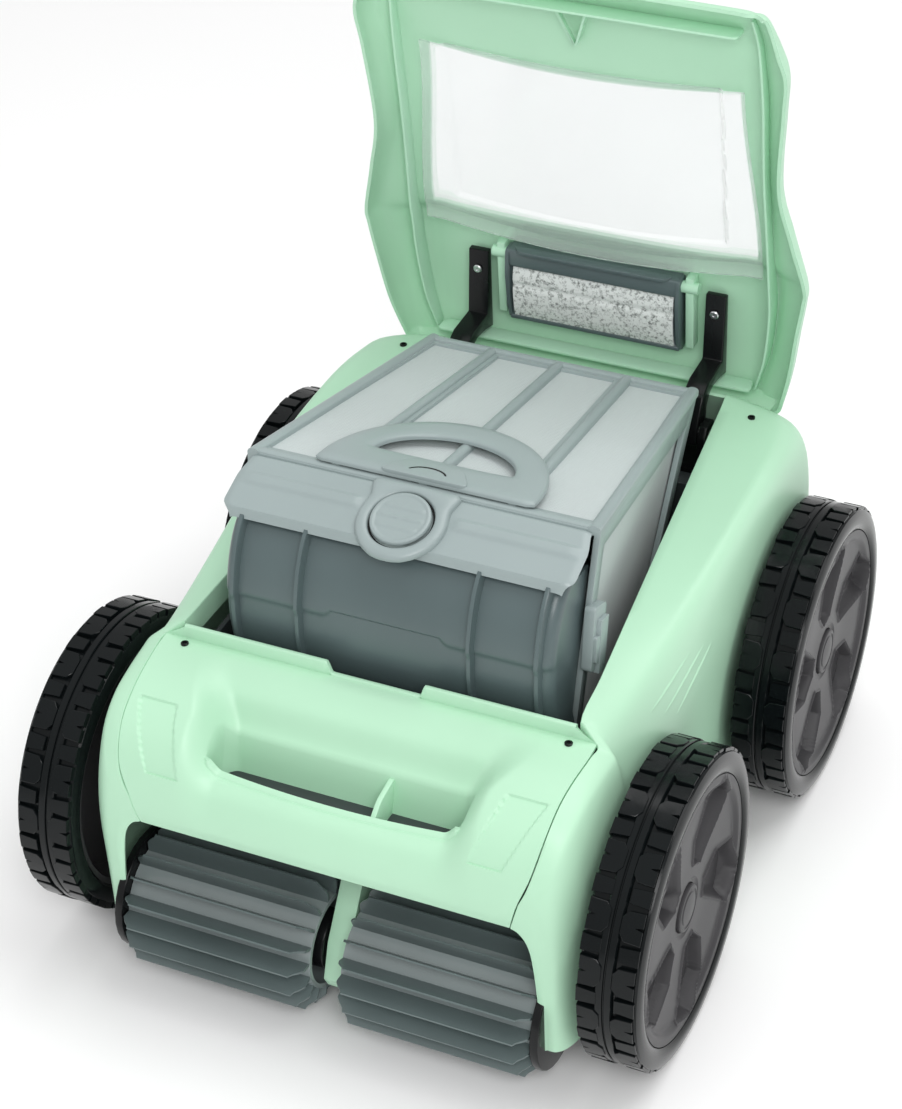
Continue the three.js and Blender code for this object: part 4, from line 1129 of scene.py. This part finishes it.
def outline_hit(outline, centre, direction):
    """Distance from a centre to where a ray leaves an outline."""
    best = 0.0
    for k, a in enumerate(outline):
        edge = Vector(outline[(k + 1) % len(outline)]) - Vector(a)
        cross = direction.x * edge.y - direction.y * edge.x
        if abs(cross) < 1e-9:
            continue
        away = Vector(a) - centre
        t = (away.x * edge.y - away.y * edge.x) / cross
        s = (away.x * direction.y - away.y * direction.x) / cross
        if t > 0 and -1e-6 <= s <= 1 + 1e-6:
            best = max(best, t)
    return best


def ringed(profile, insides, outsides):
    """Points and faces of a ring: its profile is (share from the inside to the outside, height)."""
    rows = [[(*Vector(a).lerp(Vector(b), share), height) for a, b in zip(insides, outsides)]
            for share, height in profile]
    return looped(rows)


def latch_clip():
    centre = Vector((0, -BUTTON_DISTANCE))
    outline = clip_outline()
    insides, outsides = [], []
    for direction in (Vector(d) for d in circle(1, 72)):
        insides.append(centre + direction * (BUTTON_RADIUS + 1.6))
        outsides.append(centre + direction * outline_hit(outline, centre, direction))
    profile = [(0, 0.6), (0, 3.2), (0.04, 4.3), (0.12, 4.8), (0.35, 5.2), (0.6, 5.1), (0.82, 4.5),
               (0.93, 3.6), (0.985, 2.4), (1.0, 0.6)]
    add_solid("latch_clip_shape", ringed(profile, insides, outsides), LIGHT_GREY, "latch_clip", FLAP_POSE,
              sharp_deg=40)
    # Painted shade: a black ring at the bottom of the gap around the button stands in for the gap's
    # shadow.
    well = ring_solid([(BUTTON_RADIUS + 0.3, 0.8), (BUTTON_RADIUS + 2.2, 0.8), (BUTTON_RADIUS + 2.2, 2.0),
                       (BUTTON_RADIUS + 0.3, 2.0)], 64)
    place = FLAP_POSE @ facing((0, -BUTTON_DISTANCE, 0), -90, "Y")
    add_solid("button_gap_painted_shade", well, BLACK, "latch_clip", place, body="filter")


def latch_button():
    """The round button, with three ridges across its sunk face."""
    rows = []
    top = 6.9
    sunk = [(radius, top - 0.5) for radius in spread(15.4, 1.0, 13)]
    for radius, height in [(BUTTON_RADIUS - 0.5, 3.6), (BUTTON_RADIUS, 4.2), (BUTTON_RADIUS, top - 1.4),
                           (BUTTON_RADIUS - 0.5, top - 0.5), (BUTTON_RADIUS - 1.6, top), (17.2, top),
                           (16.4, top - 0.5)] + sunk:
        row = []
        for x, y in circle(radius, 64):
            ridge = sum(0.65 * smooth(1.9, 0.2, abs(y - at)) for at in (-7.5, 0, 7.5))
            row.append((x, y - BUTTON_DISTANCE, height + ridge * smooth(16, 14, radius)))
        rows.append(row)
    add_solid("latch_button_shape", tube(rows), LIGHT_GREY, "latch_button", FLAP_POSE, sharp_deg=34)


def carry_handle():
    """The D-shaped handle: a broad plate with a D-shaped finger hole and rounded edges."""
    around = [Vector(direction) for direction in circle(1, 120)]
    outsides = [hit_d(direction, half=75.0, flat=0.4, centre=8.0, rise=84.0) for direction in around]
    insides = [hit_d(direction, half=48.0, flat=30.0, centre=30.0, rise=38.0) for direction in around]
    profile = [(0, 1.5), (0, 3.4), (0.02, 4.3), (0.07, 4.9), (0.3, 5.4), (0.7, 5.4), (0.93, 4.9),
               (0.98, 4.2), (1.0, 3.2), (1.0, 1.5)]
    add_solid("carry_handle_shape", ringed(profile, insides, outsides), LIGHT_GREY, "carry_handle",
              HANDLE_POSE, sharp_deg=40)
    boss = rounded([(-31, 0.6), (31, 0.6), (21, 19), (14, 24), (-14, 24), (-21, 19)], 6, 5)
    add_solid("handle_boss", prism(boss, 3.0, 6.2, "z"), LIGHT_GREY, "carry_handle", HANDLE_POSE, (1.2, 3),
              body="handle")
    # Painted shade: a thin black sheet on the boss's top stands in for the slot's dark opening.
    slot = [(13.5 * math.cos(a), 5.5 + 9.5 * math.sin(a)) for a in spread(0.25, math.pi - 0.25, 15)]
    slot += [(12.4 * math.cos(a), 5.2 + 8.0 * math.sin(a)) for a in spread(math.pi - 0.32, 0.32, 15)]
    add_solid("handle_boss_slot_painted_shade", prism(slot, 5.9, 6.28, "z"), BLACK, "carry_handle", HANDLE_POSE,
              body="handle")


def hit_d(direction, half, flat, centre, rise):
    """Where a ray from a D shape's middle meets it: a flat side at y = flat and a half ellipse above."""
    start = Vector((0.0, 46.0))
    t_best = 1e9
    if direction.y < 0:
        t = (flat - start.y) / direction.y
        if abs(start.x + direction.x * t) <= half:
            t_best = t
    a = (direction.x / half) ** 2 + (direction.y / rise) ** 2
    b = 2 * (start.y - centre) * direction.y / rise ** 2
    c = ((start.y - centre) / rise) ** 2 - 1
    t = (-b + math.sqrt(b * b - 4 * a * c)) / (2 * a)
    if start.y + direction.y * t >= centre:
        t_best = min(t_best, t)
    elif abs(direction.x) > 1e-6:
        t_best = min(t_best, half / abs(direction.x))
    return tuple(start + direction * t_best)


filter_frame()
mesh_panels()
filter_door()
filter_flap()
latch_clip()
latch_button()
carry_handle()


# ---- CAD nodes whose shape only needs its edges eased ----

EASED_EDGES = {
    "lower_chassis": 1.6, "roller_divider": 2.6, "pump_motor": 1.0, "pump_impeller": 0.6,
    "outlet_grille": 0.8, "drive_unit_right": 2.0, "drive_unit_left": 2.0, "hinge_bracket_right": 0.9,
    "hinge_bracket_left": 0.9, "filter_tray": 1.2, "inlet_flap": 0.6, "cable_gland": 0.6,
}
for node_name, edge in EASED_EDGES.items():
    refined(node_name, SLOT_MATERIAL[SLOT_OF[node_name]], edge)

# Nodes that no piece stands for are shown as they are.
for node_name, cad_object in NODES.items():
    if not cad_object.hide_render:
        cad_object.data.materials.clear()
        cad_object.data.materials.append(SLOT_MATERIAL[SLOT_OF[node_name]])


# ---- stage, light and camera ----

def floor():
    paper = bpy.data.materials.new("floor_paper")
    paper.use_nodes = True
    set_sockets(paper.node_tree.nodes["Principled BSDF"],
                {"Base Color": (0.97, 0.97, 0.97, 1), "Roughness": 0.9})
    bpy.ops.mesh.primitive_plane_add(size=70, location=(0, 0, -0.0005))
    plane = bpy.context.object
    plane.name = "floor"
    plane.data.materials.append(paper)


def softbox(name, place, size, power):
    lamp = bpy.data.lights.new(name, "AREA")
    lamp.shape = "RECTANGLE"
    lamp.size, lamp.size_y = size
    lamp.energy = power
    holder = bpy.data.objects.new(name, lamp)
    holder.location = place
    holder.rotation_euler = (Vector((0, 0, 0.2)) - Vector(place)).to_track_quat("-Z", "Y").to_euler()
    bpy.context.scene.collection.objects.link(holder)


def world():
    sky = bpy.context.scene.world or bpy.data.worlds.new("studio")
    bpy.context.scene.world = sky
    sky.use_nodes = True
    tree = sky.node_tree
    background = tree.nodes["Background"]
    set_sockets(background, {"Color": (1.0, 1.0, 1.0, 1)})
    place = add_node(tree, "TexCoord")
    split = add_node(tree, "SeparateXYZ")
    level = add_node(tree, "MapRange", To_Min=0.5, To_Max=0.72)
    wire(tree, (place, "Generated", split, "Vector"), (split, "Z", level, "Value"),
         (level, "Result", background, "Strength"))


CAMERA_AT = Vector((617.7, -1298.9, 1284.2)) * MM
CAMERA_AZIMUTH, CAMERA_ELEVATION, CAMERA_ROLL = 25.80, 36.33, 2.59
CAMERA_LENS = 88.08


def camera():
    lens = bpy.data.cameras.new("view")
    lens.lens = CAMERA_LENS
    lens.sensor_width = 36.0
    lens.sensor_fit = "AUTO"
    lens.clip_start = 0.05
    azimuth, elevation = math.radians(CAMERA_AZIMUTH), math.radians(CAMERA_ELEVATION)
    back = Vector((math.sin(azimuth) * math.cos(elevation), -math.cos(azimuth) * math.cos(elevation),
                   math.sin(elevation)))
    right = (-back).cross(Vector((0, 0, 1))).normalized()
    up = back.cross(right)
    turn = Matrix.Rotation(-math.radians(CAMERA_ROLL), 3, back)
    right, up = turn @ right, turn @ up
    eye = bpy.data.objects.new("view", lens)
    eye.matrix_world = Matrix.Translation(CAMERA_AT) @ Matrix((right, up, back)).transposed().to_4x4()
    bpy.context.scene.collection.objects.link(eye)
    bpy.context.scene.camera = eye


floor()
world()
softbox("key", (1.1, -1.9, 2.1), (1.2, 1.2), 33)
softbox("fill", (-2.0, -0.9, 1.4), (1.2, 1.2), 3)
softbox("top", (0.6, 0.7, 2.6), (2.4, 1.6), 30)
camera()
bpy.context.scene.view_settings.view_transform = "Standard"
